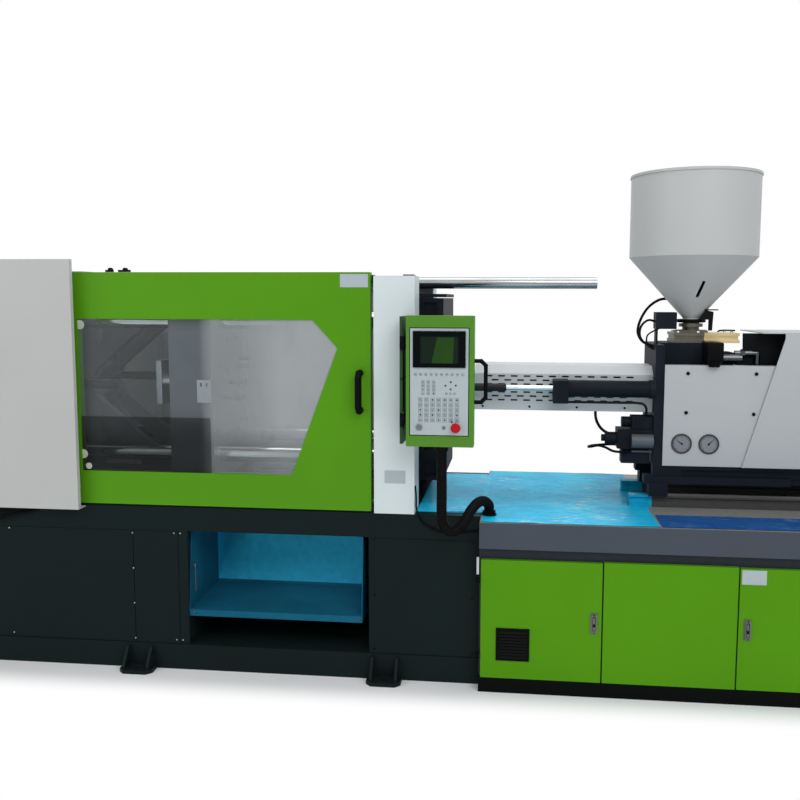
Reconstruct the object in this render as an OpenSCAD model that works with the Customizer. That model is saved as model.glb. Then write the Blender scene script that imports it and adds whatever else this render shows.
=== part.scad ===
// Injection moulding machine with a double toggle clamp and a hydraulic injection unit.
// X runs along the machine towards the injection end, Y away from the operator, Z up.
// The origin is on the floor, at the middle of the length and on the centre plane.

/* [Overall] */
// Length of the whole machine
machine_len = 5400; // [5380:5:5500]
// Height of the screw axis over the floor
axis_z = 1210; // [1205:1:1216]
// Place of the fixed platen's mould face
mould_face_x = -180; // [-184:1:-176]
// Place of the injection base's left end
split_x = 250; // [246:1:254]

/* [Clamp base] */
// Height of the clamp base
base_h = 712; // [700:2:720]
// Width of the clamp base
base_w = 886; // [880:2:900]
// Height of the skirt at the foot of the base
skirt_h = 111; // [90:1:130]
// How far the skirt stands proud of the base
skirt_proud = 7; // [4:1:12]
// Width of the discharge opening
chute_w = 784; // [740:4:800]
// Height of the discharge opening
chute_h = 499; // [460:1:510]
// Depth of the discharge space
chute_depth = 700; // [600:10:760]
// Height of the tray's front lip over the opening's sill
tray_lip = 153; // [130:1:170]
// Depth of the tray's floor
tray_depth = 350; // [330:5:380]
// Slope of the tray's floor in degrees
tray_slope = 2; // [1:0.5:3]
// Thickness of the tray sheet
tray_t = 3; // [2:0.5:5]
// Thickness of the base's side panels
panel_t = 3; // [2:0.5:5]
// Length of an anchor foot
foot_len = 145; // [130:1:160]
// Reach of an anchor foot from the base
foot_reach = 75; // [66:1:84]
// Thickness of an anchor foot's plate
foot_t = 16; // [12:1:20]
// Diameter of the anchor holes
anchor_d = 26; // [20:1:32]
// Distance between anchor holes along the machine
anchor_pitch = 1072; // [1040:2:1100]

/* [Platens] */
// Height and width of the platens
platen_size = 790; // [780:2:800]
// Thickness of the fixed platen
fixed_t = 258; // [250:1:262]
// Thickness of the moving platen
moving_t = 190; // [180:2:200]
// Thickness of the rear platen
rear_t = 240; // [220:2:260]
// Mould space with the clamp open
daylight = 708; // [700:2:716]
// Distance between tie bar centres
tie_pitch = 580; // [570:2:590]
// Diameter of the tie bars
tie_d = 70; // [60:1:80]
// Size of the tie bar nuts over the flats
nut_w = 120; // [110:2:130]
// Diameter of the locating ring's bore
locating_d = 125; // [100:1:150]
// Diameter of the nozzle opening in the fixed platen
nozzle_open_d = 260; // [220:2:300]
// Distance between mould clamping holes
hole_pitch = 140; // [130:1:148]
// Diameter of the mould clamping holes
hole_d = 18; // [14:1:22]

/* [Toggle] */
// Length of the rear toggle link
rear_link = 280; // [276:1:284]
// Length of the front toggle link
front_link = 430; // [420:2:440]
// Angle of the rear link with the clamp open
fold = 95; // [92:1:97]
// Height of the link pivots over and under the axis
pivot_off = 340; // [336:1:344]
// Diameter of the toggle pins
pin_d = 60; // [50:1:66]
// Radius of the link eyes
eye_r = 50; // [44:1:54]
// Thickness of a link plate
link_t = 40; // [34:1:40]
// Length of the crosshead links
cross_link = 190; // [186:1:196]
// Diameter of the clamp piston rod
piston_d = 68; // [60:1:70]
// Diameter of the clamp cylinder
clamp_cyl_d = 230; // [200:5:260]

/* [Guards] */
// Length of the front safety door
door_len = 1270; // [1262:1:1276]
// Height of the safety doors
door_h = 984; // [960:2:990]
// Thickness of a safety door
door_t = 40; // [30:1:44]
// Width of the door's top and bottom bands
door_band = 194; // [170:1:210]
// Thickness of the window sheet
window_t = 6; // [4:0.5:8]
// Travel of the safety doors
door_travel = 700; // [650:5:720]
// Height of the door handles over the doors' lower edge
handle_up = 408; // [380:2:430]
// Length of the door handles
handle_len = 181; // [160:1:200]
// Diameter of the door handles' bar
handle_d = 28; // [20:1:32]
// Height of the clamp hood over the base
hood_h = 1044; // [1034:1:1064]
// How far the hood stands proud of the base
hood_proud = 60; // [54:1:70]
// Thickness of the sheet metal covers
sheet_t = 4; // [3:0.5:6]
// Width of the white column cover
column_w = 168; // [160:1:176]
// Height of the column cover
column_h = 978; // [950:2:990]
// Depth of the column cover
column_depth = 150; // [130:2:154]
// Diameter of the safety bar
safety_bar_d = 55; // [50:1:58]
// Height of the safety bar over the platens
safety_bar_up = 68; // [60:1:74]
// Reach of the safety bar past the fixed platen
safety_bar_out = 680; // [640:2:700]

/* [Injection base] */
// Height of the deck
deck_h = 704; // [698:1:710]
// Width of the injection base
deck_w = 1038; // [1020:2:1060]
// Height of the plinth
plinth_h = 62; // [50:1:70]
// Height of the cabinet doors
cab_door_h = 495; // [480:1:500]
// Height of the dark recess over the doors
recess_h = 42; // [34:1:48]
// Width of a cabinet bay
bay_w = 524; // [520:1:528]
// Thickness of the cabinet doors
cab_door_t = 20; // [16:1:24]
// Gap around the cabinet doors
door_gap = 3; // [2:0.5:4]
// Width of the vent grille
vent_w = 135; // [120:1:150]
// Height of a door latch
latch_h = 86; // [76:1:96]
// Thickness of the deck sheet
deck_sheet_t = 3; // [2:0.5:4]

/* [Injection unit] */
// Length of the barrel cover
barrel_cover_len = 770; // [740:5:780]
// Height of the barrel cover
barrel_cover_h = 198; // [190:1:206]
// Width of the barrel cover
barrel_cover_w = 226; // [216:2:236]
// Outer diameter of the barrel
barrel_d = 110; // [100:1:120]
// Diameter of the screw
screw_d = 50; // [45:1:55]
// Diameter of the nozzle
nozzle_d = 56; // [50:1:62]
// Diameter of the seat cylinders
seat_cyl_d = 72; // [64:1:78]
// Diameter of the seat cylinder rods
seat_rod_d = 24; // [20:1:28]
// Distance of the seat cylinders from the centre plane
seat_off = 170; // [166:1:176]
// Travel of the carriage to the rear
carriage_back = 200; // [180:5:210]
// Travel of the carriage to the front
carriage_front = 60; // [50:1:70]
// Injection stroke of the screw
screw_stroke = 150; // [130:5:160]
// Length of the front cover
front_cover_len = 466; // [455:1:475]
// Height of the front cover
front_cover_h = 431; // [420:1:440]
// Height of the rear cover
rear_cover_h = 571; // [550:1:590]
// Lap of the rear cover over the front cover at the foot
cover_lap = 139; // [120:1:150]
// Lean of the rear cover's leading edge
cover_lean = 156; // [140:1:170]
// Diameter of the pressure gauges
gauge_d = 100; // [90:1:105]

/* [Hopper] */
// Diameter of the hopper's cylinder
hopper_d = 542; // [500:2:580]
// Height of the hopper's cylinder
hopper_cyl_h = 349; // [330:1:370]
// Height of the hopper's cone
hopper_cone_h = 261; // [250:1:280]
// Height of the hopper's neck
neck_h = 63; // [50:1:70]
// Diameter of the hopper's neck
neck_d = 66; // [56:1:76]
// Thickness of the hopper's wall
hopper_wall = 3; // [2:0.5:5]
// Travel of the hopper on its slide
hopper_travel = 150; // [120:5:160]

/* [Control panel] */
// Width of the control panel
panel_w = 265; // [255:1:275]
// Height of the control panel
panel_h = 511; // [500:1:520]
// Depth of the panel's green housing
panel_depth = 60; // [50:1:66]
// Width of the screen
screen_w = 149; // [140:1:156]
// Height of the screen
screen_h = 106; // [98:1:112]
// Diameter of the emergency stop button
estop_d = 38; // [34:1:42]
// Outer diameter of the panel hose
hose_d = 42; // [38:1:44]

/* [Hidden] */

$fn = 48;
// Radial clearance of a running fit
fit = 0.05;
// Clearance between parts that slide past each other
gap = 0.3;
eps = 1;

// Colours
dark_green = [0.12, 0.15, 0.15];
lime = [0.33, 0.59, 0.1];
cover_white = [0.8, 0.82, 0.83];
casting = [0.14, 0.16, 0.2];
steel = [0.6, 0.62, 0.65];
chromed = [0.82, 0.84, 0.86];
film_blue = [0.16, 0.55, 0.8];
fascia_grey = [0.28, 0.31, 0.35];
soft_black = [0.07, 0.07, 0.08];
brassy = [0.62, 0.52, 0.3];

half_len = machine_len / 2;
front_y = -base_w / 2;
platen_half = platen_size / 2;
tie_half = tie_pitch / 2;

// Platens along X, with the clamp open
fix_x1 = mould_face_x + fixed_t;
fixed_plate_t = 150;
fix_plate_x1 = mould_face_x + fixed_plate_t;
mov_x1 = mould_face_x - daylight;
mov_x0 = mov_x1 - moving_t;
moving_lug = 180;
front_pivot_x = mov_x0 - moving_lug;
knee_dx = rear_link * cos(fold);
knee_dz = rear_link * sin(fold);
front_angle = asin(knee_dz / front_link);
rear_pivot_x = front_pivot_x - knee_dx - front_link * cos(front_angle);
rear_lug = 340;
rear_x1 = rear_pivot_x - rear_lug;
rear_x0 = rear_x1 - rear_t;

// Planes of the toggle plates, as distances from the centre plane
plane_gap = 2;
cross_y = 28;
rear_y = cross_y + link_t + plane_gap;
front_y0 = rear_y + link_t + plane_gap;
lug_y = front_y0 + link_t + plane_gap;

// Crosshead with the clamp open
bell_x = 150;
bell_z = 70;
cross_pivot_z = 110;
bell_open_x = bell_x * cos(fold) - bell_z * sin(fold);
bell_open_z = pivot_off - bell_x * sin(fold) - bell_z * cos(fold);
cross_dz = bell_open_z - cross_pivot_z;
cross_angle = asin(cross_dz / cross_link);
cross_x = rear_pivot_x + bell_open_x - cross_link * cos(cross_angle);
guide_d = 40;
guide_y = 230;

// Discharge opening
chute_x1 = mould_face_x - 34;
chute_x0 = chute_x1 - chute_w;
chute_z1 = skirt_h + chute_h;
chute_back = front_y + chute_depth;

// Guards
door_x1 = mould_face_x - 23;
door_x0 = door_x1 - door_len;
door_z0 = base_h + 8;
door_z1 = door_z0 + door_h;
hood_x1 = door_x0 + 25;
hood_half = base_w / 2 + hood_proud;
hood_top = base_h + hood_h;
hood_step_len = 552;
hood_step_x = hood_x1 - hood_step_len;
hood_low = door_z1 + 1 + sheet_t;
column_x0 = mould_face_x - 10;
column_x1 = column_x0 + column_w;

// Injection base and its bays
deck_half = deck_w / 2;
bay_x = [split_x + 5, split_x + 494, split_x + 494 + bay_w, split_x + 494 + 2 * bay_w,
  split_x + 494 + 3 * bay_w, half_len - 5];
fascia_z = plinth_h + cab_door_h + recess_h;

// Injection unit along X
hopper_x = 1147;
feed_x0 = 975;
feed_x1 = 1320;
feed_flange_t = 39;
beam_y = 172;
beam_z0 = 815;
beam_z1 = 890;
rail_y = 150;
rail_w = 50;
deck_top = deck_h + deck_sheet_t;
rail_h = 50;
slide_z0 = axis_z + 202;
slide_z1 = slide_z0 + 43;
cover_y = 180;
rear_cover_y = 190;

// Control panel
panel_x0 = -37;
panel_x1 = panel_x0 + panel_w;
panel_z0 = 1022;
panel_y0 = -593;
panel_y1 = panel_y0 + panel_depth;
hinge_x = -50;
hinge_y = -575;
hinge_r = 7;

// Small dimensions that follow from the pieces above
drop_x0 = mov_x1 + 20;
drop_x1 = mould_face_x - 20;
drop_half = 250;
anchor_x = -681;
nut_t = 78;
clamp_cyl_x0 = -half_len + 40;
ejector_y = 70;
ejector_d = 30;
safety_bar_y = -front_y - column_depth - safety_bar_d / 2 - 14;
bar_z = axis_z + platen_half + safety_bar_up;
bay_wall = 119;
bay_back = deck_half - bay_wall;
deck_back_half = 393;
vent_x0 = bay_x[0] + 66;
vent_z0 = plinth_h + 76;
latch_z0 = plinth_h + 203;
carriage_x1 = 2150;
rail_x0 = 880;
rail_x1 = 2340;
inj_y = 92;
inj_rod_d = 44;
throat_d = 56;
nozzle_x = 90;
barrel_x0 = 170;
thrust_x0 = 1560;
function band_x(i) = barrel_x0 + 60 + i * 118;
barrel_cover_x1 = feed_x0;
seat_head_x = 545;
seat_rod_x = 343;
gauge_x = [1091, 1204];
gauge_z = 987;
panel_z1 = panel_z0 + panel_h;
hinge_z = [panel_z0 + 80, panel_z0 + 378];
button_z = panel_z0 + 78;
estop_x = panel_x0 + 196;
key_x = panel_x0 + 52;
screen_z0 = panel_z0 + 326;

// Route of the panel hose
hose_top_x = 102;
hose_top_y = -563;
hose_end_x = 284;
hose_end_y = -400;
hose_seat = 20;
hose_points = [[hose_top_x, hose_top_y, 1000], [102, -563, 930], [102, -563, 870], [102, -563, 810],
  [102, -563, 787], [102, -564, 766], [103, -564, 745], [105, -565, 725], [110, -566, 707], [119, -567, 692],
  [132, -566, 682], [147, -565, 679], [162, -563, 684], [175, -558, 695], [187, -553, 709],
  [197, -546, 724], [206, -536, 740], [215, -525, 755], [225, -512, 766], [235, -497, 775],
  [244, -480, 779], [254, -463, 780], [263, -446, 777], [271, -430, 770], [278, -417, 761],
  [283, -405, 751], [hose_end_x, hose_end_y, 741], [hose_end_x, hose_end_y, deck_top + hose_seat + gap]];

// Box between two corners
module block(x0, x1, y0, y1, z0, z1) {
  translate([x0, y0, z0])
    cube([x1 - x0, y1 - y0, z1 - z0]);
}

// Rod along X between two places
module rod_x(x0, x1, y, z, d) {
  translate([x0, y, z])
    rotate([0, 90, 0])
      cylinder(h = x1 - x0, d = d);
}

// Rod along Y between two places
module rod_y(y0, y1, x, z, d) {
  translate([x, y1, z])
    rotate([90, 0, 0])
      cylinder(h = y1 - y0, d = d);
}

// Profile in the XZ plane, drawn out from y0 to y1
module plate_y(y0, y1) {
  translate([0, y1, 0])
    rotate([90, 0, 0])
      linear_extrude(y1 - y0)
        children();
}

// Profile in the YZ plane, drawn out from x0 to x1
module plate_x(x0, x1) {
  translate([x0, 0, 0])
    rotate([90, 0, 90])
      linear_extrude(x1 - x0)
        children();
}

// The same shape on the operator's side and behind
module both_sides() {
  children();
  mirror([0, 1, 0])
    children();
}

// Slot with round ends, length l and width w
module slot_2d(l, w) {
  square([l - w, w], center = true);
  for (s = [-1, 1])
    translate([s * (l - w) / 2, 0])
      circle(d = w, $fn = 24);
}

// Welded base under the clamp, with the discharge space and the drop opening
module clamp_base() {
  color(dark_green)
    difference() {
      union() {
        block(-half_len, split_x, front_y, -front_y, 0, base_h);
        block(-half_len, split_x, front_y - skirt_proud, -front_y + skirt_proud, 0, skirt_h);
      }
      block(chute_x0, chute_x1, front_y - skirt_proud - eps, chute_back, skirt_h, chute_z1);
      block(drop_x0, drop_x1, -drop_half, drop_half, skirt_h, base_h + eps);
    }
}

// Sheet panels on the base, under the seam line
module base_panels() {
  seam_z = chute_z1 - 4;
  color(dark_green)
    both_sides()
      for (p = [[-half_len + 10, chute_x0 - 242], [chute_x0 - 238, chute_x0 - 42],
                [chute_x1 + 4, split_x - 4]])
        block(p[0], p[1], front_y - panel_t, front_y, skirt_h + 2, seam_z);
}

// One anchor foot: a drilled plate with two gussets, standing out of the base towards -Y
module anchor_foot() {
  y0 = front_y - skirt_proud;
  chamfer = 22;
  gusset_h = 84;
  gusset_t = 12;
  difference() {
    linear_extrude(foot_t)
      polygon([[-foot_len / 2, y0], [foot_len / 2, y0], [foot_len / 2, y0 - foot_reach + chamfer],
               [foot_len / 2 - chamfer, y0 - foot_reach], [-foot_len / 2 + chamfer, y0 - foot_reach],
               [-foot_len / 2, y0 - foot_reach + chamfer]]);
    translate([0, y0 - foot_reach / 2, -eps])
      cylinder(h = foot_t + 2 * eps, d = anchor_d);
  }
  for (s = [-1, 1])
    translate([s * (foot_len / 2 - 20), 0, 0])
      plate_x(-gusset_t / 2, gusset_t / 2)
        polygon([[y0, foot_t], [y0, foot_t + gusset_h], [y0 - 14, foot_t + gusset_h],
                 [y0 - foot_reach + 12, foot_t + 12], [y0 - foot_reach + 12, foot_t]]);
}

// Four anchor feet
module anchor_feet() {
  color(dark_green)
    both_sides()
      for (s = [-1, 1])
        translate([anchor_x + s * anchor_pitch / 2, 0, 0])
          anchor_foot();
}

// Tray with a nearly level floor and a slide behind it, which bring the mouldings to the operator
module discharge_tray() {
  y0 = front_y + 6;
  y1 = chute_back;
  lip_z = skirt_h + tray_lip;
  knee_y = front_y + tray_depth;
  knee_z = lip_z + tan(tray_slope) * (knee_y - y0);
  top_z = chute_z1 - 6;
  x1 = chute_x1 - 30;
  drop = 28;
  color(film_blue) {
    plate_x(chute_x0, x1)
      polygon([[y0, lip_z - drop], [y0, lip_z], [knee_y, knee_z], [y1 - 2 * tray_t, top_z], [y1, top_z],
               [knee_y + 2 * tray_t, knee_z - tray_t], [y0 + tray_t, lip_z - tray_t],
               [y0 + tray_t, lip_z - drop]]);
    for (x = [chute_x0, x1 - tray_t])
      plate_x(x, x + tray_t)
        polygon([[y0, lip_z - drop], [y0, lip_z], [y0 + 40, top_z], [y1, top_z], [knee_y, knee_z - drop]]);
  }
}

// Sheet metal hood over the toggle, open at its right end and at the bottom, with a lower roof
// beside the door pockets and a full height panel on the operator's side
module clamp_hood() {
  pocket_y = front_y + door_t + gap;
  rim = 22;
  vent_len = 360;
  color(cover_white) {
    difference() {
      block(-half_len, hood_x1, -hood_half, hood_half, base_h - 8, hood_top);
      block(-half_len + sheet_t, hood_x1 + eps, -hood_half + sheet_t, hood_half - sheet_t,
            base_h - 8 - eps, hood_top - sheet_t);
      block(hood_step_x, hood_x1 + eps, -hood_half + sheet_t, hood_half + eps, hood_low, hood_top + eps);
      block(-half_len - eps, -half_len + sheet_t + eps, front_y - eps, -front_y + eps,
            base_h - 8 - eps, base_h);
      for (i = [0:11])
        plate_x(-half_len - eps, -half_len + sheet_t + eps)
          translate([0, 1180 + 34 * i])
            slot_2d(vent_len, 14);
    }
    block(hood_step_x - eps, hood_x1, pocket_y, -pocket_y, hood_low - sheet_t, hood_low);
    block(hood_step_x - sheet_t, hood_step_x, -hood_half + 1, hood_half - 1, hood_low - sheet_t,
          hood_top - 1);
    block(hood_step_x - eps, hood_x1, -hood_half, -hood_half + rim, hood_top - sheet_t, hood_top);
    block(hood_step_x - eps, hood_x1, hood_half - rim, hood_half, hood_low - sheet_t, hood_low);
    block(hood_x1 - sheet_t, hood_x1, -hood_half, -hood_half + rim, base_h - 8, hood_top);
    block(hood_x1 - sheet_t, hood_x1, hood_half - rim, hood_half, base_h - 8, hood_low);
    both_sides()
      block(-half_len, hood_x1, -hood_half, front_y, base_h - 8, base_h - 8 + sheet_t);
  }
}

// One white cover round the fixed platen's corner on the operator's side
module column_cover() {
  y1 = front_y + column_depth;
  left_y1 = front_y + 84;
  z1 = base_h + column_h;
  difference() {
    block(column_x0, column_x1, front_y, y1, base_h, z1);
    block(column_x0 + sheet_t, column_x1 - sheet_t, front_y + sheet_t, y1 + eps, base_h - eps,
          z1 - sheet_t);
    block(column_x0 - eps, column_x0 + sheet_t + eps, left_y1, y1 + eps, base_h - eps, z1 + eps);
  }
}

// The two column covers
module column_covers() {
  color(cover_white)
    both_sides()
      column_cover();
}

// Guide rails over and under the safety doors
module door_rails() {
  x0 = -half_len + 460;
  rail_in = front_y + door_t + gap;
  color(steel)
    both_sides() {
      plate_x(x0, column_x0)
        polygon([[front_y + 8, base_h], [front_y + door_t - 8, base_h], [front_y + door_t - 8, base_h + 4],
                 [front_y + 24, base_h + 4], [front_y + 24, door_z0 - gap], [front_y + 16, door_z0 - gap],
                 [front_y + 16, base_h + 4], [front_y + 8, base_h + 4]]);
      plate_x(x0, column_x0)
        polygon([[rail_in, door_z1 - 44], [rail_in + 34, door_z1 - 44], [rail_in + 34, door_z1 - 38],
                 [rail_in + 6, door_z1 - 38], [rail_in + 6, door_z1 - 10], [rail_in, door_z1 - 10]]);
      for (h = [[x0, hood_top], [hood_x1 - 60, hood_low]])
        block(h[0], h[0] + 40, rail_in, rail_in + 30, door_z1 - 11, h[1] - sheet_t);
    }
}

// Outline of the door window, grown outwards by m
module window_2d(m) {
  x0 = door_x0 + 18 - m;
  z0 = door_z0 + 142 - m;
  z1 = door_z1 - door_band + m;
  polygon([[x0, z0], [door_x0 + 936 + m * 0.7, z0], [door_x0 + 1133 + m * 1.2, door_z1 - 308],
           [door_x0 + 1029 + m * 0.4, z1], [x0, z1]]);
}

// Front safety door: a folded shell with a framed window opening
module front_door() {
  color(lime)
    difference() {
      block(door_x0, door_x1, front_y, front_y + door_t, door_z0, door_z1);
      plate_y(front_y - eps, front_y + door_t + eps)
        window_2d(0);
      plate_y(front_y + 4, front_y + 4 + window_t)
        window_2d(9);
      difference() {
        block(door_x0 + 4, door_x1 - 4, front_y + 14, front_y + door_t + eps, door_z0 + 4, door_z1 - 4);
        plate_y(front_y, front_y + door_t)
          window_2d(12);
      }
    }
}

// Clear sheet of the front door
module front_window() {
  color([0.75, 0.8, 0.82, 0.4])
    plate_y(front_y + 4, front_y + 4 + window_t)
      window_2d(8.7);
}

// Bow handle at x on the face y: a round bar with cut corners, standing out by reach
module bow_handle(x, y, z0, z1, d, reach) {
  c = reach * 0.4;
  for (e = [[z0 + d / 2, 1], [z1 - d / 2, -1]]) {
    rod_y(y - reach + c, y, x, e[0], d);
    translate([x, y - reach + c, e[0]]) {
      sphere(d = d + eps);
      rotate([90 - 45 * e[1], 0, 0])
        cylinder(h = c * sqrt(2), d = d);
    }
    translate([x, y - reach, e[0] + e[1] * c])
      sphere(d = d + eps);
  }
  translate([x, y - reach, z0 + d / 2 + c])
    cylinder(h = z1 - z0 - d - 2 * c, d = d);
}

// Bow handle in its place on a safety door
module guard_handle() {
  bow_handle(door_x1 - 43, front_y, door_z0 + handle_up, door_z0 + handle_up + handle_len, handle_d, 46);
}

// Black handle of the front door
module door_handle() {
  color(soft_black)
    guard_handle();
}

// Rear safety door: a plain sheet with two stiffening ribs and a grip
module rear_door() {
  color(cover_white)
    mirror([0, 1, 0]) {
      difference() {
        block(door_x0, door_x1, front_y, front_y + door_t, door_z0, door_z1);
        for (i = [0:2])
          block(door_x0 + 4 + i * (door_len - 8) / 3 + 8, door_x0 + 4 + (i + 1) * (door_len - 8) / 3 - 8,
                front_y + 4, front_y + door_t + eps, door_z0 + 20, door_z1 - 20);
      }
      guard_handle();
    }
}

// Holes for the four tie bars through a platen
module tie_holes(x0, x1) {
  for (y = [-tie_half, tie_half])
    for (z = [-tie_half, tie_half])
      rod_x(x0 - eps, x1 + eps, y, axis_z + z, tie_d + 2 * fit);
}

// Mould clamping holes, a square grid of four by four without its middle
module clamping_holes(x0, x1) {
  for (i = [-1.5:1:1.5])
    for (j = [-1.5:1:1.5])
      if (max(abs(i), abs(j)) > 1)
        rod_x(x0, x1, i * hole_pitch, axis_z + j * hole_pitch, hole_d);
}

// Fixed platen: a square plate with a ribbed back round the nozzle opening
module fixed_platen() {
  rib_half = 262;
  rib_z = platen_half - 4;
  rib_t = 44;
  color(casting)
    difference() {
      union() {
        block(mould_face_x, fix_plate_x1, -platen_half, platen_half, axis_z - platen_half,
              axis_z + platen_half);
        block(fix_plate_x1 - eps, fix_x1, -rib_half, rib_half, axis_z - rib_z, axis_z + rib_z);
        both_sides()
          block(mould_face_x + 10, fix_plate_x1 - 10, 200, 330, base_h, axis_z - platen_half + eps);
      }
      tie_holes(mould_face_x, fix_plate_x1);
      for (y = [-tie_half, tie_half])
        for (z = [-tie_half, tie_half])
          rod_x(fix_plate_x1 - nut_t - gap, fix_plate_x1 + eps, y, axis_z + z, nut_w * 1.2);
      clamping_holes(mould_face_x - eps, mould_face_x + 45);
      rod_x(mould_face_x - eps, mould_face_x + 30, 0, axis_z, locating_d);
      translate([mould_face_x + 29, 0, axis_z])
        rotate([0, 90, 0])
          cylinder(h = fixed_t - 28, d1 = locating_d - 15, d2 = nozzle_open_d, $fn = 64);
      for (s = [-1, 1]) {
        block(fix_plate_x1 + 20, fix_x1 + eps, -rib_half - eps, rib_half + eps, axis_z + s * 226 - 34,
              axis_z + s * 226 + 34);
        for (t = [-1, 1])
          block(fix_plate_x1 + 24, fix_x1 - 30, t * rib_half - 12, t * rib_half + 12, axis_z + s * 338 - 34,
                axis_z + s * 338 + 34);
        for (t = [-1, 1])
          block(fix_plate_x1 + 20, fix_x1 + eps, t * 150 - 76 + rib_t, t * 150 + 76 - rib_t,
                axis_z + s * 100 - 30, axis_z + s * 100 + 30);
      }
    }
}

// Moving platen with its pivot lugs, pins and shoes
module moving_platen() {
  color(casting)
    difference() {
      union() {
        block(mov_x0, mov_x1, -platen_half, platen_half, axis_z - platen_half, axis_z + platen_half);
        both_sides() {
          block(mov_x0 + 20, mov_x1 - 20, 180, 330, base_h + gap, axis_z - platen_half + eps);
          for (s = [-1, 1])
            plate_y(lug_y, lug_y + link_t)
              lug_2d(mov_x0 + eps, front_pivot_x, axis_z + s * pivot_off);
        }
        for (s = [-1, 1])
          rod_y(-lug_y - link_t, lug_y + link_t, front_pivot_x, axis_z + s * pivot_off, pin_d);
      }
      tie_holes(mov_x0, mov_x1);
      clamping_holes(mov_x1 - 45, mov_x1 + eps);
      for (y = [-ejector_y, 0, ejector_y])
        rod_x(mov_x0 - eps, mov_x1 + eps, y, axis_z, ejector_d + 2 * fit);
      for (s = [-1, 1])
        for (t = [-1, 1])
          block(mov_x0 - eps, mov_x0 + 80, t * 100 - 62, t * 100 + 62, axis_z + s * 150 - 70,
                axis_z + s * 150 + 70);
    }
}

// Lug from the face x0 to the pivot at x1, with a round end
module lug_2d(x0, x1, z) {
  translate([x1, z])
    circle(r = eye_r);
  translate([min(x0, x1), z - eye_r])
    square([abs(x1 - x0), 2 * eye_r]);
}

// Rear platen with its long lugs, the pivot pins and the crosshead's guide rods
module rear_platen() {
  color(casting)
    difference() {
      union() {
        block(rear_x0, rear_x1, -platen_half, platen_half, axis_z - platen_half, axis_z + platen_half);
        both_sides() {
          block(rear_x0 + 20, rear_x1 - 20, 180, 330, base_h, axis_z - platen_half + eps);
          for (s = [-1, 1])
            plate_y(front_y0, front_y0 + link_t)
              lug_2d(rear_x1 - eps, rear_pivot_x, axis_z + s * pivot_off);
        }
        for (s = [-1, 1])
          rod_y(-front_y0 - link_t, front_y0 + link_t, rear_pivot_x, axis_z + s * pivot_off, pin_d);
        for (y = [-guide_y, guide_y])
          rod_x(rear_x1 - eps, rear_pivot_x + 160, y, axis_z, guide_d);
      }
      tie_holes(rear_x0, rear_x1);
      rod_x(rear_x0 - eps, rear_x1 + eps, 0, axis_z, piston_d + 2 * fit);
    }
}

// The four tie bars with a hexagon nut at each end
module tie_bars() {
  x0 = rear_x0 - nut_t - 30;
  color(chromed)
    for (y = [-tie_half, tie_half])
      for (z = [-tie_half, tie_half]) {
        rod_x(x0, fix_plate_x1 - 2, y, axis_z + z, tie_d);
        for (x = [rear_x0 - nut_t - gap, fix_plate_x1 - nut_t])
          translate([x, y, axis_z + z])
            rotate([0, 90, 0])
              cylinder(h = nut_t, d = nut_w / cos(30), $fn = 6);
      }
}

// Clamp cylinder behind the rear platen
module clamp_cylinder() {
  x1 = rear_x0;
  x0 = clamp_cyl_x0;
  color(casting)
    difference() {
      union() {
        rod_x(x0, x1, 0, axis_z, clamp_cyl_d);
        rod_x(x1 - 40, x1, 0, axis_z, clamp_cyl_d + 70);
        rod_x(x0, x0 + 40, 0, axis_z, clamp_cyl_d + 30);
      }
      rod_x(x0 + 40, x1 - 50, 0, axis_z, clamp_cyl_d - 60);
      rod_x(x1 - 60, x1 + eps, 0, axis_z, piston_d + 2 * fit);
    }
}

// Crosshead with its arms, pins and piston rod
module crosshead() {
  body_half = 48;
  arm_half = 32;
  color(steel)
    difference() {
      union() {
        block(cross_x - body_half, cross_x + body_half, -cross_y + gap, cross_y - gap,
              axis_z - cross_pivot_z - eye_r * 0.8, axis_z + cross_pivot_z + eye_r * 0.8);
        block(cross_x - arm_half, cross_x + arm_half, -guide_y - 36, guide_y + 36, axis_z - 36,
              axis_z + 36);
        for (s = [-1, 1])
          rod_y(-cross_y - link_t, cross_y + link_t, cross_x, axis_z + s * cross_pivot_z, guide_d);
        rod_x(clamp_cyl_x0 + 46, cross_x, 0, axis_z, piston_d);
        rod_x(clamp_cyl_x0 + 46, clamp_cyl_x0 + 76, 0, axis_z, clamp_cyl_d - 60 - 2 * fit);
      }
      for (y = [-guide_y, guide_y])
        rod_x(cross_x - arm_half - eps, cross_x + arm_half + eps, y, axis_z, guide_d + 2 * fit);
    }
}

// Straight link along X from the origin, with an eye at each end and a pin hole at the first
module link_2d(l, hole) {
  difference() {
    union() {
      circle(r = eye_r);
      translate([l, 0])
        circle(r = eye_r);
      translate([0, -eye_r * 0.72])
        square([l, eye_r * 1.44]);
    }
    circle(d = hole + 2 * fit);
  }
}

// Rear link with its inner boss for the crosshead link, two plates joined by the knee pin
module rear_link_pair() {
  for (s = [-1, 1])
    plate_y(min(s * rear_y, s * (rear_y + link_t)), max(s * rear_y, s * (rear_y + link_t))) {
      link_2d(rear_link, pin_d);
      translate([bell_x, -bell_z])
        circle(r = eye_r * 0.8);
      polygon([[bell_x - 70, -20], [bell_x + 70, -20], [bell_x + 36, -bell_z - 16],
               [bell_x - 36, -bell_z - 16]]);
    }
  rod_y(-rear_y - link_t, rear_y + link_t, rear_link, 0, pin_d);
}

// Rear link in its place, s is 1 for the upper and -1 for the lower one
module rear_link_at(s) {
  color(casting)
    translate([rear_pivot_x, 0, axis_z + s * pivot_off])
      mirror([0, 0, s < 0 ? 1 : 0])
        rotate([0, fold, 0])
          rear_link_pair();
}

module rear_link_upper() {
  rear_link_at(1);
}

module rear_link_lower() {
  rear_link_at(-1);
}

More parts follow.
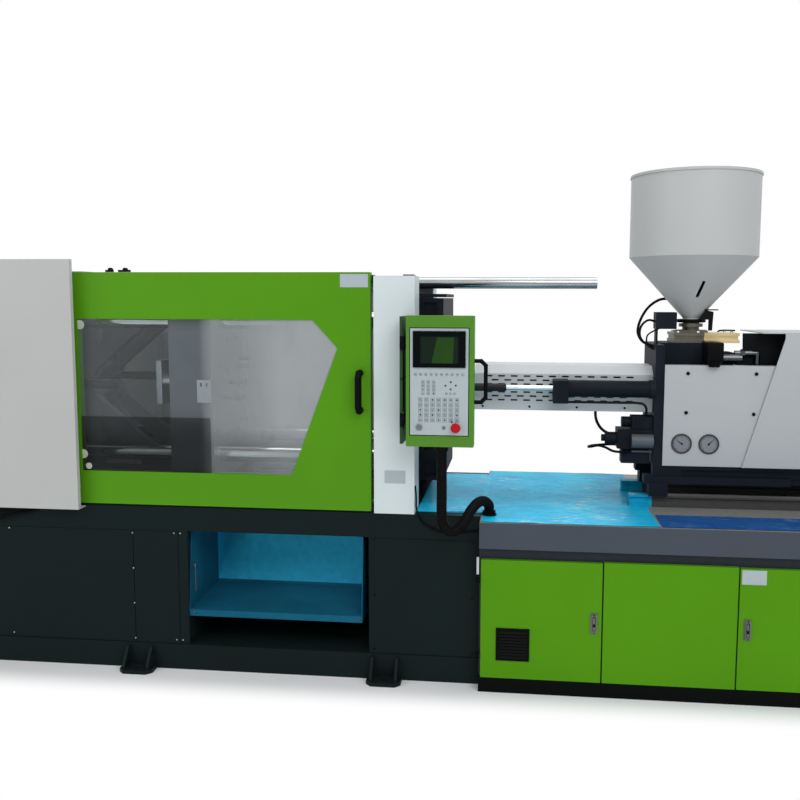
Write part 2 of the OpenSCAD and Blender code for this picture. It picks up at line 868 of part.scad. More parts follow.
// Front link in its place, two plates outside the rear link's
module front_link_at(s) {
  color(casting)
    translate([front_pivot_x, 0, axis_z + s * pivot_off])
      mirror([0, 0, s < 0 ? 1 : 0])
        rotate([0, 180 - front_angle, 0])
          for (t = [-1, 1])
            plate_y(min(t * front_y0, t * (front_y0 + link_t)), max(t * front_y0, t * (front_y0 + link_t)))
              link_2d(front_link, pin_d);
}

module front_link_upper() {
  front_link_at(1);
}

module front_link_lower() {
  front_link_at(-1);
}

// Crosshead link in its place, two plates inside the rear link's
module cross_link_at(s) {
  color(steel)
    translate([cross_x, 0, axis_z + s * cross_pivot_z])
      mirror([0, 0, s < 0 ? 1 : 0])
        rotate([0, -cross_angle, 0])
          for (t = [-1, 1])
            plate_y(min(t * cross_y, t * (cross_y + link_t)), max(t * cross_y, t * (cross_y + link_t)))
              cross_2d();
}

// Outline of a crosshead link
module cross_2d() {
  difference() {
    union() {
      for (x = [0, cross_link])
        translate([x, 0])
          circle(r = eye_r * 0.76);
      translate([0, -26])
        square([cross_link, 52]);
    }
    circle(d = guide_d + 2 * fit);
  }
}

module cross_link_upper() {
  cross_link_at(1);
}

module cross_link_lower() {
  cross_link_at(-1);
}

// Ejector plate with three rods through the moving platen
module ejector_plate() {
  x0 = front_pivot_x - 10;
  color(steel) {
    block(x0, x0 + 25, -ejector_y - 24, ejector_y + 24, axis_z - 100, axis_z + 100);
    for (y = [-ejector_y, 0, ejector_y])
      rod_x(x0 + 24, mov_x1 - 20, y, axis_z, ejector_d);
  }
}

// Mechanical safety bar, carried by a bracket on top of the moving platen
module safety_bar() {
  top = axis_z + platen_half;
  color(chromed) {
    rod_x(mov_x0 + 40, fix_x1 + safety_bar_out, safety_bar_y, bar_z, safety_bar_d);
    block(mov_x0 + 20, mov_x0 + 100, safety_bar_y - 70, safety_bar_y + 70, top, top + 16);
    block(mov_x0 + 40, mov_x0 + 80, safety_bar_y - 42, safety_bar_y + 42, top, bar_z + 40);
  }
}

// Bracket on the fixed platen that the safety bar passes through
module safety_bracket() {
  top = axis_z + platen_half;
  half = safety_bar_d / 2 + 12;
  color(casting)
    difference() {
      union() {
        block(mould_face_x + 20, fix_x1, -130, safety_bar_y + half, top, top + 14);
        block(mould_face_x + 20, mould_face_x + 70, safety_bar_y - half, safety_bar_y + half,
              top, bar_z + 40);
      }
      rod_x(mould_face_x, fix_x1, safety_bar_y, bar_z, safety_bar_d + 2 * fit);
    }
}

// Injection base: plinth, cabinet body with two open bays, dark recess and grey fascia
module injection_base() {
  core_y = deck_half - cab_door_t;
  color(fascia_grey)
    difference() {
      union() {
        block(split_x, half_len, -deck_half, deck_half, 0, plinth_h);
        block(split_x, half_len, -core_y, core_y, plinth_h - eps, deck_h - eps);
        block(split_x, half_len, -deck_half, deck_half, fascia_z, deck_h);
      }
      for (i = [0, 2])
        block(bay_x[i] + 25, bay_x[i + 1] - 25, -core_y - eps, bay_back, plinth_h + 14,
              plinth_h + cab_door_h - 14);
    }
}

// Film-covered sheets on the deck and beside the fixed platen, and the hose's flange
module deck_sheet() {
  color(film_blue) {
    block(split_x + 2, half_len - 4, -deck_half + 3, deck_half - 3, deck_h, deck_top);
    block(column_x1 + 4, split_x - 2, -deck_back_half, deck_back_half, base_h, base_h + deck_sheet_t);
  }
  color(soft_black)
    translate([hose_end_x, hose_end_y, deck_top]) {
      cylinder(h = 8, d = 62);
      cylinder(h = hose_seat, d = hose_d + 12);
    }
}

// Panel of the injection base that fills bay i on the operator's side
module cabinet_sheet(i) {
  block(bay_x[i] + door_gap, bay_x[i + 1] - door_gap, -deck_half, -deck_half + cab_door_t, plinth_h,
        plinth_h + cab_door_h);
}

// Fixed panels: the bays without doors, the whole rear and the end
module fixed_panels() {
  z1 = plinth_h + cab_door_h;
  color(lime) {
    for (i = [1, 3])
      cabinet_sheet(i);
    block(bay_x[4] + door_gap, half_len, -deck_half, -deck_half + cab_door_t, plinth_h, z1);
    for (i = [0:4])
      mirror([0, 1, 0])
        cabinet_sheet(i);
  }
}

// Folded door of bay i, hinged at its left (s = -1) or right (s = 1) edge
module cabinet_door(i, s, vent) {
  x0 = bay_x[i] + door_gap;
  x1 = bay_x[i + 1] - door_gap;
  z1 = plinth_h + cab_door_h - door_gap;
  z0 = plinth_h + gap;
  y0 = -deck_half;
  hx = s < 0 ? x0 : x1;
  difference() {
    block(x0, x1, y0, y0 + cab_door_t - gap, z0, z1);
    block(x0 + 16, x1 - 16, y0 + 3, y0 + cab_door_t + eps, z0 + 16, z1 - 16);
    if (vent)
      block(vent_x0 + 6, vent_x0 + vent_w - 6, y0 - eps, y0 + 3 + eps, vent_z0 + 6, vent_z0 + vent_w - 6);
    translate([hx, y0, z0 - eps])
      cylinder(h = z1 - z0 + 2 * eps, r = 1.5);
  }
}

module cabinet_door_1() {
  color(lime)
    cabinet_door(0, -1, true);
}

module cabinet_door_3() {
  color(lime)
    cabinet_door(2, 1, false);
}

// Louvred vent in the first door
module vent_grille() {
  y0 = -deck_half - 4;
  rim = 10;
  pitch = (vent_w - 2 * rim) / 9;
  color(soft_black) {
    difference() {
      block(vent_x0, vent_x0 + vent_w, y0, y0 + 4, vent_z0, vent_z0 + vent_w);
      block(vent_x0 + rim, vent_x0 + vent_w - rim, y0 - eps, y0 + 4 + eps, vent_z0 + rim,
            vent_z0 + vent_w - rim);
    }
    for (i = [0:8])
      plate_x(vent_x0 + rim - 0.5, vent_x0 + vent_w - rim + 0.5)
        translate([y0 + 2, vent_z0 + rim + (i + 0.5) * pitch])
          rotate(-35)
            square([2, pitch * 1.1], center = true);
  }
}

// Swing-handle latch on a door: a thin escutcheon and a turning grip
module latch(x) {
  color(steel) {
    block(x - 15, x + 15, -deck_half - 3, -deck_half - gap, latch_z0, latch_z0 + latch_h);
    difference() {
      block(x - 10, x + 10, -deck_half - 9, -deck_half - 3, latch_z0 + 6, latch_z0 + latch_h - 6);
      rod_y(-deck_half - 10, -deck_half - 6, x, latch_z0 + latch_h - 16, 9);
    }
  }
}

module latch_1() {
  latch(bay_x[1] - 33);
}

module latch_3() {
  latch(bay_x[2] + 37);
}

// Electric motor with its pump, on a foot in the first bay
module pump_motor() {
  floor_z = plinth_h + 14;
  x0 = bay_x[0] + 60;
  motor_d = 250;
  motor_l = 230;
  z = floor_z + 20 + motor_d / 2;
  color(casting) {
    plate_x(x0 + 20, x0 + motor_l - 20)
      translate([0, z])
        difference() {
          circle(d = motor_d, $fn = 96);
          for (a = [-30:12:210])
            rotate(a)
              translate([motor_d / 2 - 12, -4])
                square([30, 8]);
        }
    rod_x(x0, x0 + 21, 0, z, motor_d - 30);
    rod_x(x0 + motor_l - 21, x0 + motor_l, 0, z, motor_d - 30);
    block(x0 + 40, x0 + motor_l - 40, -70, 70, floor_z, z - motor_d / 2 + 30);
    rod_x(x0 + motor_l - eps, x0 + motor_l + 40, 0, z, 150);
    rod_x(x0 + motor_l + 39, x0 + motor_l + 120, 0, z, 100);
  }
}

// Electrical plate with its components, on the back of the third bay
module electrical_plate() {
  floor_z = plinth_h + 14;
  x0 = bay_x[2] + 70;
  x1 = bay_x[3] - 70;
  y1 = bay_back;
  color(steel)
    block(x0, x1, y1 - 4, y1, floor_z, floor_z + 420);
  color(cover_white)
    for (j = [0:2])
      for (i = [0:5])
        block(x0 + 20 + i * 62, x0 + 70 + i * 62, y1 - 70 + 12 * (j % 2), y1 - 4, floor_z + 40 + j * 130,
              floor_z + 130 + j * 130);
}

// The injection unit's two rails on the deck
module injection_rails() {
  color(steel)
    both_sides()
      plate_x(rail_x0, rail_x1)
        polygon([[rail_y - rail_w / 2, deck_top], [rail_y + rail_w / 2, deck_top],
                 [rail_y + rail_w / 2, deck_top + 24], [rail_y + rail_w / 2 - 9, deck_top + 30],
                 [rail_y + rail_w / 2 - 9, deck_top + 36], [rail_y + rail_w / 2, deck_top + 42],
                 [rail_y + rail_w / 2, deck_top + rail_h], [rail_y - rail_w / 2, deck_top + rail_h],
                 [rail_y - rail_w / 2, deck_top + 42], [rail_y - rail_w / 2 + 9, deck_top + 36],
                 [rail_y - rail_w / 2 + 9, deck_top + 30], [rail_y - rail_w / 2, deck_top + 24]]);
}

// Carriage: two beams, feet on the rails, cross plates and the front foot
module carriage_frame() {
  foot_w = 78;
  color(casting) {
    both_sides() {
      difference() {
        block(feed_x0, carriage_x1, beam_y - 40, beam_y, beam_z0, beam_z1);
        block(feed_x0 + 120, carriage_x1 - 30, beam_y - 14, beam_y + eps, beam_z0 + 18, beam_z1 - 18);
      }
      for (x = [feed_x0 - 15, carriage_x1 - 260])
        block(x, x + foot_w, rail_y - 40, rail_y + 40, deck_top + rail_h + gap, beam_z0 + eps);
      block(feed_x0 - 35, feed_x0 + 570, beam_y - 60, beam_y + 6, beam_z0 - 5, beam_z0 + 28);
    }
    for (x = [feed_x0 + 30, carriage_x1 - 60])
      block(x, x + 60, -beam_y + 39, beam_y - 39, beam_z0, beam_z1);
  }
}

// Feed housing: front flange, barrel seat, injection cylinders and the feed throat
module feed_housing() {
  z0 = beam_z1;
  z1 = axis_z + 195;
  box_z = z1 + 66;
  throat_x0 = feed_x0 + feed_flange_t - eps;
  color(casting)
    difference() {
      union() {
        block(feed_x0, feed_x0 + feed_flange_t, -beam_y, beam_y, z0, z1);
        block(feed_x0, feed_x1, -130, 130, axis_z - 110, axis_z + 110);
        block(feed_x0 + feed_flange_t, feed_x1, -120, 120, z0, axis_z - 109);
        block(throat_x0, hopper_x + 45, -100, 100, axis_z + 109, slide_z0);
        block(feed_x0 + 8, feed_x0 + 95, -100, -20, box_z, box_z + 72);
        block(feed_x0 + 10, feed_x0 + 18, -90, -40, z1 - eps, box_z + eps);
        for (y = [-inj_y, inj_y])
          rod_x(feed_x1 - eps, feed_x1 + 85, y, axis_z, 78);
      }
      rod_x(feed_x0 - eps, feed_x1 + eps, 0, axis_z, barrel_d + 2 * fit);
      for (y = [-inj_y, inj_y])
        rod_x(feed_x0 + 120, feed_x1 + 86, y, axis_z, inj_rod_d + 2 * fit);
      translate([hopper_x, 0, axis_z])
        cylinder(h = slide_z0 - axis_z + eps, d = throat_d);
    }
}

// Barrel with its heater bands and the screwed-in nozzle
module barrel() {
  color(steel)
    translate([0, 0, axis_z])
      rotate([0, 90, 0])
        difference() {
          rotate_extrude($fn = 64)
            polygon(concat(
              [[0, nozzle_x], [9, nozzle_x], [nozzle_d / 2, nozzle_x + 26], [nozzle_d / 2, barrel_x0],
               [barrel_d / 2 + 8, barrel_x0], [barrel_d / 2 + 8, barrel_x0 + 36],
               [barrel_d / 2, barrel_x0 + 36]],
              [for (i = [0:5]) each [[barrel_d / 2, band_x(i)], [barrel_d / 2 + 9, band_x(i)],
                                     [barrel_d / 2 + 9, band_x(i) + 92], [barrel_d / 2, band_x(i) + 92]]],
              [[barrel_d / 2, feed_x1], [0, feed_x1]]));
          translate([0, 0, barrel_x0 + 60])
            cylinder(h = feed_x1 - barrel_x0, d = screw_d + 2 * fit);
          translate([0, 0, nozzle_x - eps])
            cylinder(h = barrel_x0 - nozzle_x + 80, d = 6);
          translate([0, 0, hopper_x])
            rotate([0, -90, 0])
              cylinder(h = barrel_d, d = throat_d);
        }
}

// Screw with its coupling end in the thrust block
module screw() {
  color(chromed)
    translate([0, 0, axis_z])
      rotate([0, 90, 0])
        rotate_extrude()
          polygon([[0, barrel_x0 + 62 + screw_stroke], [screw_d / 2 - 1, barrel_x0 + 112 + screw_stroke],
                   [screw_d / 2, barrel_x0 + 114 + screw_stroke], [screw_d / 2, thrust_x0 + 60],
                   [0, thrust_x0 + 60]]);
}

// Perforated cover over the barrel, open underneath
module barrel_cover() {
  x0 = barrel_cover_x1 - barrel_cover_len;
  z1 = axis_z + 99;
  z0 = z1 - barrel_cover_h;
  half = barrel_cover_w / 2;
  t = 2;
  fold_z = 37;
  slot_pitch = 55.5;
  row_pitch = 17.6;
  color(cover_white)
    difference() {
      union() {
        plate_x(x0, barrel_cover_x1)
          polygon([[-half, z0], [-half, z1 - fold_z], [-half + fold_z, z1], [half - fold_z, z1],
                   [half, z1 - fold_z], [half, z0], [half - t, z0], [half - t, z1 - fold_z - t / 2],
                   [half - fold_z - t / 2, z1 - t], [-half + fold_z + t / 2, z1 - t],
                   [-half + t, z1 - fold_z - t / 2], [-half + t, z0]]);
        for (x = [x0 + 40, barrel_cover_x1 - t])
          plate_x(x, x + t)
            difference() {
              polygon([[-half + 1, z0], [-half + 1, z1 - fold_z], [-half + fold_z, z1 - 1],
                       [half - fold_z, z1 - 1], [half - 1, z1 - fold_z], [half - 1, z0]]);
              translate([0, axis_z])
                circle(r = barrel_d / 2 + 10.3);
              translate([-barrel_d / 2 - 10.3, z0 - eps])
                square([barrel_d + 20.6, axis_z - z0 + eps]);
            }
      }
      for (r = [0:6])
        for (i = [0:11 - r % 2])
          plate_y(-half - eps, half + eps)
            translate([x0 + 62 + slot_pitch * (i + (r % 2) * 0.5), z0 + 44.6 + row_pitch * r])
              slot_2d(31, 7);
    }
}

// The two seat cylinders with their head blocks
module seat_cylinders() {
  head_x0 = seat_head_x;
  color(casting)
    both_sides()
      difference() {
        union() {
          rod_x(head_x0 + 50, feed_x0, -seat_off, axis_z + 6, seat_cyl_d);
          block(head_x0, head_x0 + 65, -seat_off - 49, -seat_off + 49, axis_z - 55, axis_z + 43);
          rod_x(feed_x0 - 24, feed_x0, -seat_off, axis_z + 6, seat_cyl_d + 8);
        }
        rod_x(head_x0 - eps, head_x0 + 80, -seat_off, axis_z + 6, seat_rod_d + 2 * fit);
        rod_x(head_x0 + 79, feed_x0 - 20, -seat_off, axis_z + 6, seat_cyl_d - 16);
      }
}

// Rods of the seat cylinders, held on the fixed platen
module seat_rods() {
  color(chromed)
    both_sides() {
      block(fix_x1, fix_x1 + 24, -seat_off - 40, -seat_off + 40, axis_z - 34, axis_z + 46);
      rod_x(fix_x1 + 23, seat_rod_x, -seat_off, axis_z + 6, 34);
      rod_x(seat_rod_x - eps, feed_x0 - carriage_front - 60, -seat_off, axis_z + 6, seat_rod_d);
      rod_x(feed_x0 - carriage_front - 84, feed_x0 - carriage_front - 60, -seat_off, axis_z + 6,
            seat_cyl_d - 16 - 2 * gap);
    }
}

// White covers on both sides of the feed section, folded at the top and bottom
module front_cover() {
  x0 = feed_x0 + feed_flange_t;
  z0 = beam_z1 + gap;
  color(cover_white)
    both_sides()
      difference() {
        block(x0, x0 + front_cover_len, -cover_y, -cover_y + 42, z0, z0 + front_cover_h);
        block(x0 + sheet_t, x0 + front_cover_len + eps, -cover_y + sheet_t, -cover_y + 43, z0 + sheet_t,
              z0 + front_cover_h - sheet_t);
        for (x = gauge_x)
          rod_y(-cover_y - eps, -cover_y + sheet_t + eps, x, gauge_z, gauge_d * 0.72);
      }
}

// Outline of the rear cover with its slanted leading edge
module rear_cover_2d() {
  x0 = feed_x0 + feed_flange_t + front_cover_len - cover_lap;
  z0 = beam_z1 + gap;
  z1 = z0 + rear_cover_h;
  polygon([[x0, z0], [x0 + cover_lean, z1 - 26], [x0 + cover_lean, z1], [carriage_x1, z1],
           [carriage_x1, z0]]);
}

// White cover over the drive end, open underneath and in front
module rear_cover() {
  z1 = beam_z1 + gap + rear_cover_h;
  x1 = carriage_x1;
  y0 = rear_cover_y;
  color(cover_white) {
    both_sides()
      plate_y(-y0, -y0 + sheet_t)
        rear_cover_2d();
    block(feed_x1 + 84, x1, -y0 + sheet_t, y0 - sheet_t, z1 - sheet_t, z1);
    block(x1 - sheet_t, x1, -y0 + sheet_t, y0 - sheet_t, beam_z1 + gap, z1 - sheet_t);
    for (x = [feed_x1 + 300, x1 - 60])
      block(x, x + 30, -y0 + sheet_t, y0 - sheet_t, beam_z1 + gap, beam_z1 + gap + 6);
  }
}

// The two pressure gauges in the front cover
module pressure_gauges() {
  color(steel)
    for (x = gauge_x)
      translate([x, -cover_y, gauge_z])
        rotate([90, 0, 0])
          rotate_extrude($fn = 64)
            polygon([[0, -30], [gauge_d * 0.36 - gap, -30], [gauge_d * 0.36 - gap, 0], [gauge_d / 2, 0],
                     [gauge_d / 2, 2], [gauge_d * 0.48, 3], [gauge_d * 0.47, 7], [gauge_d * 0.42, 7],
                     [gauge_d * 0.41, 4], [0, 4]]);
}

// Valve block in front of the feed flange, with its coils
module valve_block() {
  x1 = feed_x0;
  x0 = x1 - 150;
  y0 = -beam_y + 10;
  color(casting) {
    block(x0, x1, y0, y0 + 100, beam_z1 + 66, beam_z1 + 150);
    block(x1 - 90, x1, y0 + 10, y0 + 90, beam_z1 + 149, beam_z1 + 205);
    rod_x(x0 - 50, x0 + eps, y0 + 35, beam_z1 + 108, 52);
    rod_x(x1 - 130, x1 - 90 + eps, y0 + 50, beam_z1 + 178, 46);
    block(x0 + 20, x1 - 10, y0 + 20, y0 + 90, beam_z1, beam_z1 + 67);
  }
  color(chromed)
    rod_x(x0 - 66, x0 - 49, y0 + 35, beam_z1 + 108, 30);
}

// Thrust block, injection rods and the screw's hydraulic motor
module injection_drive() {
  x1 = thrust_x0 + 90;
  color(casting)
    difference() {
      union() {
        block(thrust_x0, x1, -126, 126, axis_z - 96, axis_z + 96);
        for (y = [-inj_y, inj_y])
          rod_x(thrust_x0 - 200, thrust_x0 + eps, y, axis_z, inj_rod_d);
        rod_x(x1 - eps, x1 + 60, 0, axis_z, 140);
        rod_x(x1 + 59, x1 + 250, 0, axis_z, 190);
        for (a = [0:72:288])
          translate([x1 + 60, 0, axis_z])
            rotate([a, 0, 0])
              block(0, 150, -34, 34, 60, 116);
      }
      rod_x(thrust_x0 - eps, thrust_x0 + 61, 0, axis_z, screw_d + 2 * fit);
    }
}

// Brass-coloured slide base under the hopper
module slide_base() {
  x0 = hopper_x - 86;
  x1 = x0 + 276;
  plate = 13;
  color(brassy)
    difference() {
      union() {
        block(x0, x1, -90, 90, slide_z0, slide_z0 + plate);
        block(x0 + 4, x1 - 4, -78, 78, slide_z0 + plate - eps, slide_z1 - plate + eps);
        block(x0, x1, -86, 86, slide_z1 - plate, slide_z1);
      }
      translate([hopper_x, 0, slide_z0 - eps])
        cylinder(h = slide_z1 - slide_z0 + 2 * eps, d = throat_d);
    }
}

// Spun hopper with its cone, neck, foot flange, rim bead and sight slot
module hopper() {
  r = hopper_d / 2;
  z0 = slide_z1 + gap;
  cone_z = z0 + neck_h;
  cyl_z = cone_z + hopper_cone_h;
  top_z = cyl_z + hopper_cyl_h;
  w = hopper_wall;
  neck = neck_d / 2;
  slot_share = 0.47;
  color(cover_white)
    translate([hopper_x, 0, 0])
      difference() {
        union() {
          rotate_extrude($fn = 96)
            polygon([[neck, z0], [neck + 36, z0], [neck + 36, z0 + 10], [neck + w, z0 + 10],
                     [neck + w, z0 + 24], [neck + 18, z0 + 24], [neck + 18, z0 + 38], [neck + w, z0 + 38],
                     [neck + w, cone_z], [r, cyl_z], [r, top_z - 8], [r + 4, top_z - 8], [r + 4, top_z],
                     [r - w, top_z], [r - w, cyl_z + 1], [neck, cone_z + 2]]);
          translate([0, 0, z0])
            difference() {
              translate([-62, -62, 0])
                cube([124, 124, 8]);
              translate([0, 0, -eps])
                cylinder(h = 10, d = neck_d);
            }
        }
        translate([8, -(neck + (r - neck) * slot_share), cone_z + hopper_cone_h * slot_share])
          rotate([atan((r - neck) / hopper_cone_h), 14, 0])
            cube([13, 12, 92], center = true);
      }
}

// Loose lid that lies in the hopper's rim
module hopper_lid() {
  r = hopper_d / 2;
  top_z = slide_z1 + gap + neck_h + hopper_cone_h + hopper_cyl_h;
  color(cover_white)
    translate([hopper_x, 0, top_z])
      rotate_extrude($fn = 96)
        polygon([[0, 0], [r + 3, 0], [r + 3, 3], [24, 5], [22, 22], [14, 28], [0, 28]]);
}

// Bracket that holds the control panel on the column cover, with the hinge knuckles
module panel_arm() {
  color(dark_green) {
    block(column_x1 - 46, column_x1 - 2, front_y - 10, front_y, panel_z0 + 78, panel_z1 - 73);
    block(hinge_x - 16, hinge_x - 4, hinge_y + 12, front_y - 9, panel_z0 + 4, panel_z1 - 4);
  }
  color(soft_black)
    for (z = hinge_z) {
      block(hinge_x - 12, hinge_x, hinge_y - 2, hinge_y + 13, z, z + 17);
      block(hinge_x - 12, hinge_x, hinge_y - 2, hinge_y + 13, z + 36, z + 53);
      difference() {
        translate([hinge_x, hinge_y, z])
          cylinder(h = 53, r = hinge_r);
        translate([hinge_x, hinge_y, z + 17])
          cylinder(h = 19, r = hinge_r + 1);
      }
      translate([hinge_x, hinge_y, z + 16])
        cylinder(h = 21, r = 3);
    }
}

// Green panel housing with its dark rear box, hinge eyes and hose gland
module panel_housing() {
  color(lime)
    difference() {
      union() {
        plate_y(panel_y0, panel_y1)
          round_rect(panel_x0, panel_x1, panel_z0, panel_z1, 3);
        for (z = hinge_z) {
          translate([hinge_x, hinge_y, z + 17 + gap])
            cylinder(h = 19 - 2 * gap, r = hinge_r);
          block(hinge_x, panel_x0 + eps, hinge_y - 5, hinge_y + 5, z + 17 + gap, z + 36 - gap);
        }
      }
      for (z = hinge_z)
        translate([hinge_x, hinge_y, z])
          cylinder(h = 60, r = 3 + fit);
      rod_y(panel_y0 - eps, panel_y0 + 10, estop_x, button_z, 20);
    }
  color(dark_green) {
    block(panel_x0 + 10, panel_x1 - 24, panel_y1, panel_y1 + 50, panel_z0 + 16, panel_z1 - 16);
    translate([hose_top_x, hose_top_y, panel_z0 - 22 + gap])
      cylinder(h = 22.5, d1 = hose_d + 4, d2 = hose_d + 14);
  }
}

// Rectangle with rounded corners
module round_rect(x0, x1, z0, z1, r) {
  translate([x0 + r, z0])
    square([x1 - x0 - 2 * r, z1 - z0]);
  translate([x0, z0 + r])
    square([x1 - x0, z1 - z0 - 2 * r]);
  for (x = [x0 + r, x1 - r])
    for (z = [z0 + r, z1 - r])
      translate([x, z])
        circle(r = r);
}

// White face plate of the panel
module panel_face() {
  color(cover_white)
    difference() {
      plate_y(panel_y0 - 2, panel_y0)
        round_rect(panel_x0 + 17, panel_x1 - 22, panel_z0 + 47, panel_z1 - 49, 1.5);
      rod_y(panel_y0 - 3, panel_y0 + eps, estop_x, button_z, 20);
      rod_y(panel_y0 - 3, panel_y0 + eps, key_x, button_z, 18.2);
    }
}

// Black bezel with the screen
module panel_screen() {
  x0 = panel_x0 + 28;
  x1 = panel_x1 - 32.5;
  mid = (x0 + x1) / 2;
  y = panel_y0 - 2;
  color(soft_black)
    difference() {
      plate_y(y - 6, y)
        round_rect(x0, x1, screen_z0 - 15, screen_z0 + screen_h + 20, 1);
      block(mid - screen_w / 2, mid + screen_w / 2, y - 7, y - 3, screen_z0, screen_z0 + screen_h);
    }
}

// Black grip on the panel's right side
module panel_handle() {
  z0 = panel_z0 + 167;
  color(soft_black)
    translate([panel_x1, panel_y0 + 30, 0])
      rotate([0, 0, 90])
        bow_handle(0, 0, z0, z0 + 177, 16, 44);
}

// Mushroom button of the emergency stop
module emergency_stop() {
  color("red")
    translate([estop_x, panel_y0 - 2, button_z])
      rotate([90, 0, 0])
        rotate_extrude()
          polygon([[0, 0.5], [9.9, 0.5], [9.9, 12], [estop_d / 2 - 3, 12], [estop_d / 2, 15],
                   [estop_d / 2, 19], [estop_d / 2 - 4, 24], [0, 26]]);
}

// Key switch with its key
module key_switch() {
  color(steel) {
    translate([key_x, panel_y0, button_z])
      rotate([90, 0, 0])
        rotate_extrude()
          polygon([[0, 0.5], [9, 0.5], [9, 3], [13, 3], [13, 6], [10, 8], [0, 8]]);
    block(key_x - 1.2, key_x + 1.2, panel_y0 - 26, panel_y0 - 7, button_z - 7, button_z + 7);
  }
}

// Sweep of a round tube along points, with rings that stay upright to the path
function dir(p, i) =
  let (a = p[max(i - 1, 0)], b = p[min(i + 1, len(p) - 1)], v = b - a) v / norm(v);
function side(d) =
  let (u = abs(d[0]) < 0.9 ? [1, 0, 0] : [0, 1, 0], s = cross(d, u)) s / norm(s);
module tube(p, d, n) {
  rings = [for (i = [0:len(p) - 1])
    let (t = dir(p, i), s = side(t), u = cross(t, s))
      [for (k = [0:n - 1]) p[i] + d / 2 * (cos(k * 360 / n) * s + sin(k * 360 / n) * u)]];
  last = (len(p) - 1) * n;
  polyhedron(
    points = [for (r = rings) each r],
    faces = concat(
      [[for (k = [0:n - 1]) k]],
      [for (i = [0:len(p) - 2]) for (k = [0:n - 1])
        [i * n + k, (i + 1) * n + k, (i + 1) * n + (k + 1) % n, i * n + (k + 1) % n]],
      [[for (k = [n - 1:-1:0]) last + k]]));
}

// Hose from the panel's gland to the flange on the deck
module panel_hose() {
  color(soft_black)
    tube(hose_points, hose_d, 10);
}

clamp_base();
base_panels();
anchor_feet();
discharge_tray();
clamp_hood();
column_covers();
door_rails();
front_door();
front_window();
door_handle();
rear_door();
fixed_platen();
moving_platen();
rear_platen();
tie_bars();
clamp_cylinder();
crosshead();
rear_link_upper();
rear_link_lower();
front_link_upper();
front_link_lower();
cross_link_upper();
cross_link_lower();
ejector_plate();
safety_bar();
safety_bracket();
injection_base();
deck_sheet();
fixed_panels();
cabinet_door_1();
cabinet_door_3();
vent_grille();
latch_1();
latch_3();
pump_motor();
electrical_plate();
injection_rails();
carriage_frame();
feed_housing();
barrel();
screw();
barrel_cover();
seat_cylinders();
seat_rods();
front_cover();
rear_cover();
pressure_gauges();
valve_block();
injection_drive();
slide_base();
hopper();
hopper_lid();
panel_arm();
panel_housing();
panel_face();
panel_screen();
panel_handle();
emergency_stop();
key_switch();
panel_hose();
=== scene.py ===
import math
import random

import bmesh
import bpy
from mathutils import Matrix, Vector, noise as noise_3d


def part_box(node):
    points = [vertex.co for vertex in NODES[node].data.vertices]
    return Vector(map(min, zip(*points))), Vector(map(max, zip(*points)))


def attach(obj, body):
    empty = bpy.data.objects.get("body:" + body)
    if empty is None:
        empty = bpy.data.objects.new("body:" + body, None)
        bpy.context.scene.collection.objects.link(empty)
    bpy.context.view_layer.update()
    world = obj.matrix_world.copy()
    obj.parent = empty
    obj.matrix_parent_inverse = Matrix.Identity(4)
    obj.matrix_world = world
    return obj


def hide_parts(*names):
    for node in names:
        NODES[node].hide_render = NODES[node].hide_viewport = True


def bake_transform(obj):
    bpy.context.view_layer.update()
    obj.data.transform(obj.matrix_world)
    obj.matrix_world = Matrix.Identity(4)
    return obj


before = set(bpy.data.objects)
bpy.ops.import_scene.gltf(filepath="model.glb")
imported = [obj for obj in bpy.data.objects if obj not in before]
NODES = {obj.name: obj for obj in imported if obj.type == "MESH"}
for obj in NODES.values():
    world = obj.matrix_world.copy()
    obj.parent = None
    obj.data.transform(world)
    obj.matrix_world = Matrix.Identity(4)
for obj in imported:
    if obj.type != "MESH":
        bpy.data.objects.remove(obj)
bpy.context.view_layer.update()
rng = random.Random(7)

# Camera, solved from the photograph's straight edges
CAM_PLACE = Vector((0.41047, -3.88654, 1.59777))
CAM_YAW = math.radians(6.14)
CAM_PITCH = math.radians(5.85)
CAM_ROLL = math.radians(0.17)
FOCAL_PX = 858.17
PRINCIPAL_PX = (429.67, 386.65)
IMAGE_PX = 800
SENSOR_MM = 36.0


def make_camera():
    cam = bpy.data.cameras.new("camera")
    cam.sensor_width = SENSOR_MM
    cam.lens = FOCAL_PX / IMAGE_PX * SENSOR_MM
    cam.shift_x = -(PRINCIPAL_PX[0] - IMAGE_PX / 2) / IMAGE_PX
    cam.shift_y = -(IMAGE_PX / 2 - PRINCIPAL_PX[1]) / IMAGE_PX
    cam.clip_end = 100
    forward = Vector((-math.sin(CAM_YAW) * math.cos(CAM_PITCH),
                      math.cos(CAM_YAW) * math.cos(CAM_PITCH), -math.sin(CAM_PITCH)))
    right = Vector((math.cos(CAM_YAW), math.sin(CAM_YAW), 0))
    up = right.cross(forward)
    c, s = math.cos(CAM_ROLL), math.sin(CAM_ROLL)
    right, up = c * right + s * up, c * up - s * right
    turn = Matrix((right, up, -forward)).transposed()
    obj = bpy.data.objects.new("camera", cam)
    obj.matrix_world = Matrix.Translation(CAM_PLACE) @ turn.to_4x4()
    bpy.context.collection.objects.link(obj)
    bpy.context.scene.camera = obj


make_camera()


# Node trees

def srgb(r, g, b):
    def lin(v):
        v /= 255
        return v / 12.92 if v <= 0.04045 else ((v + 0.055) / 1.055) ** 2.4
    return (lin(r), lin(g), lin(b), 1.0)


def grey(v):
    return (v, v, v, 1)


def scaled(col, k):
    return (min(col[0] * k, 1), min(col[1] * k, 1), min(col[2] * k, 1), 1)


def new_material(name):
    mat = bpy.data.materials.new(name)
    mat.use_nodes = True
    nt = mat.node_tree
    bsdf = nt.nodes["Principled BSDF"]
    return mat, nt, bsdf


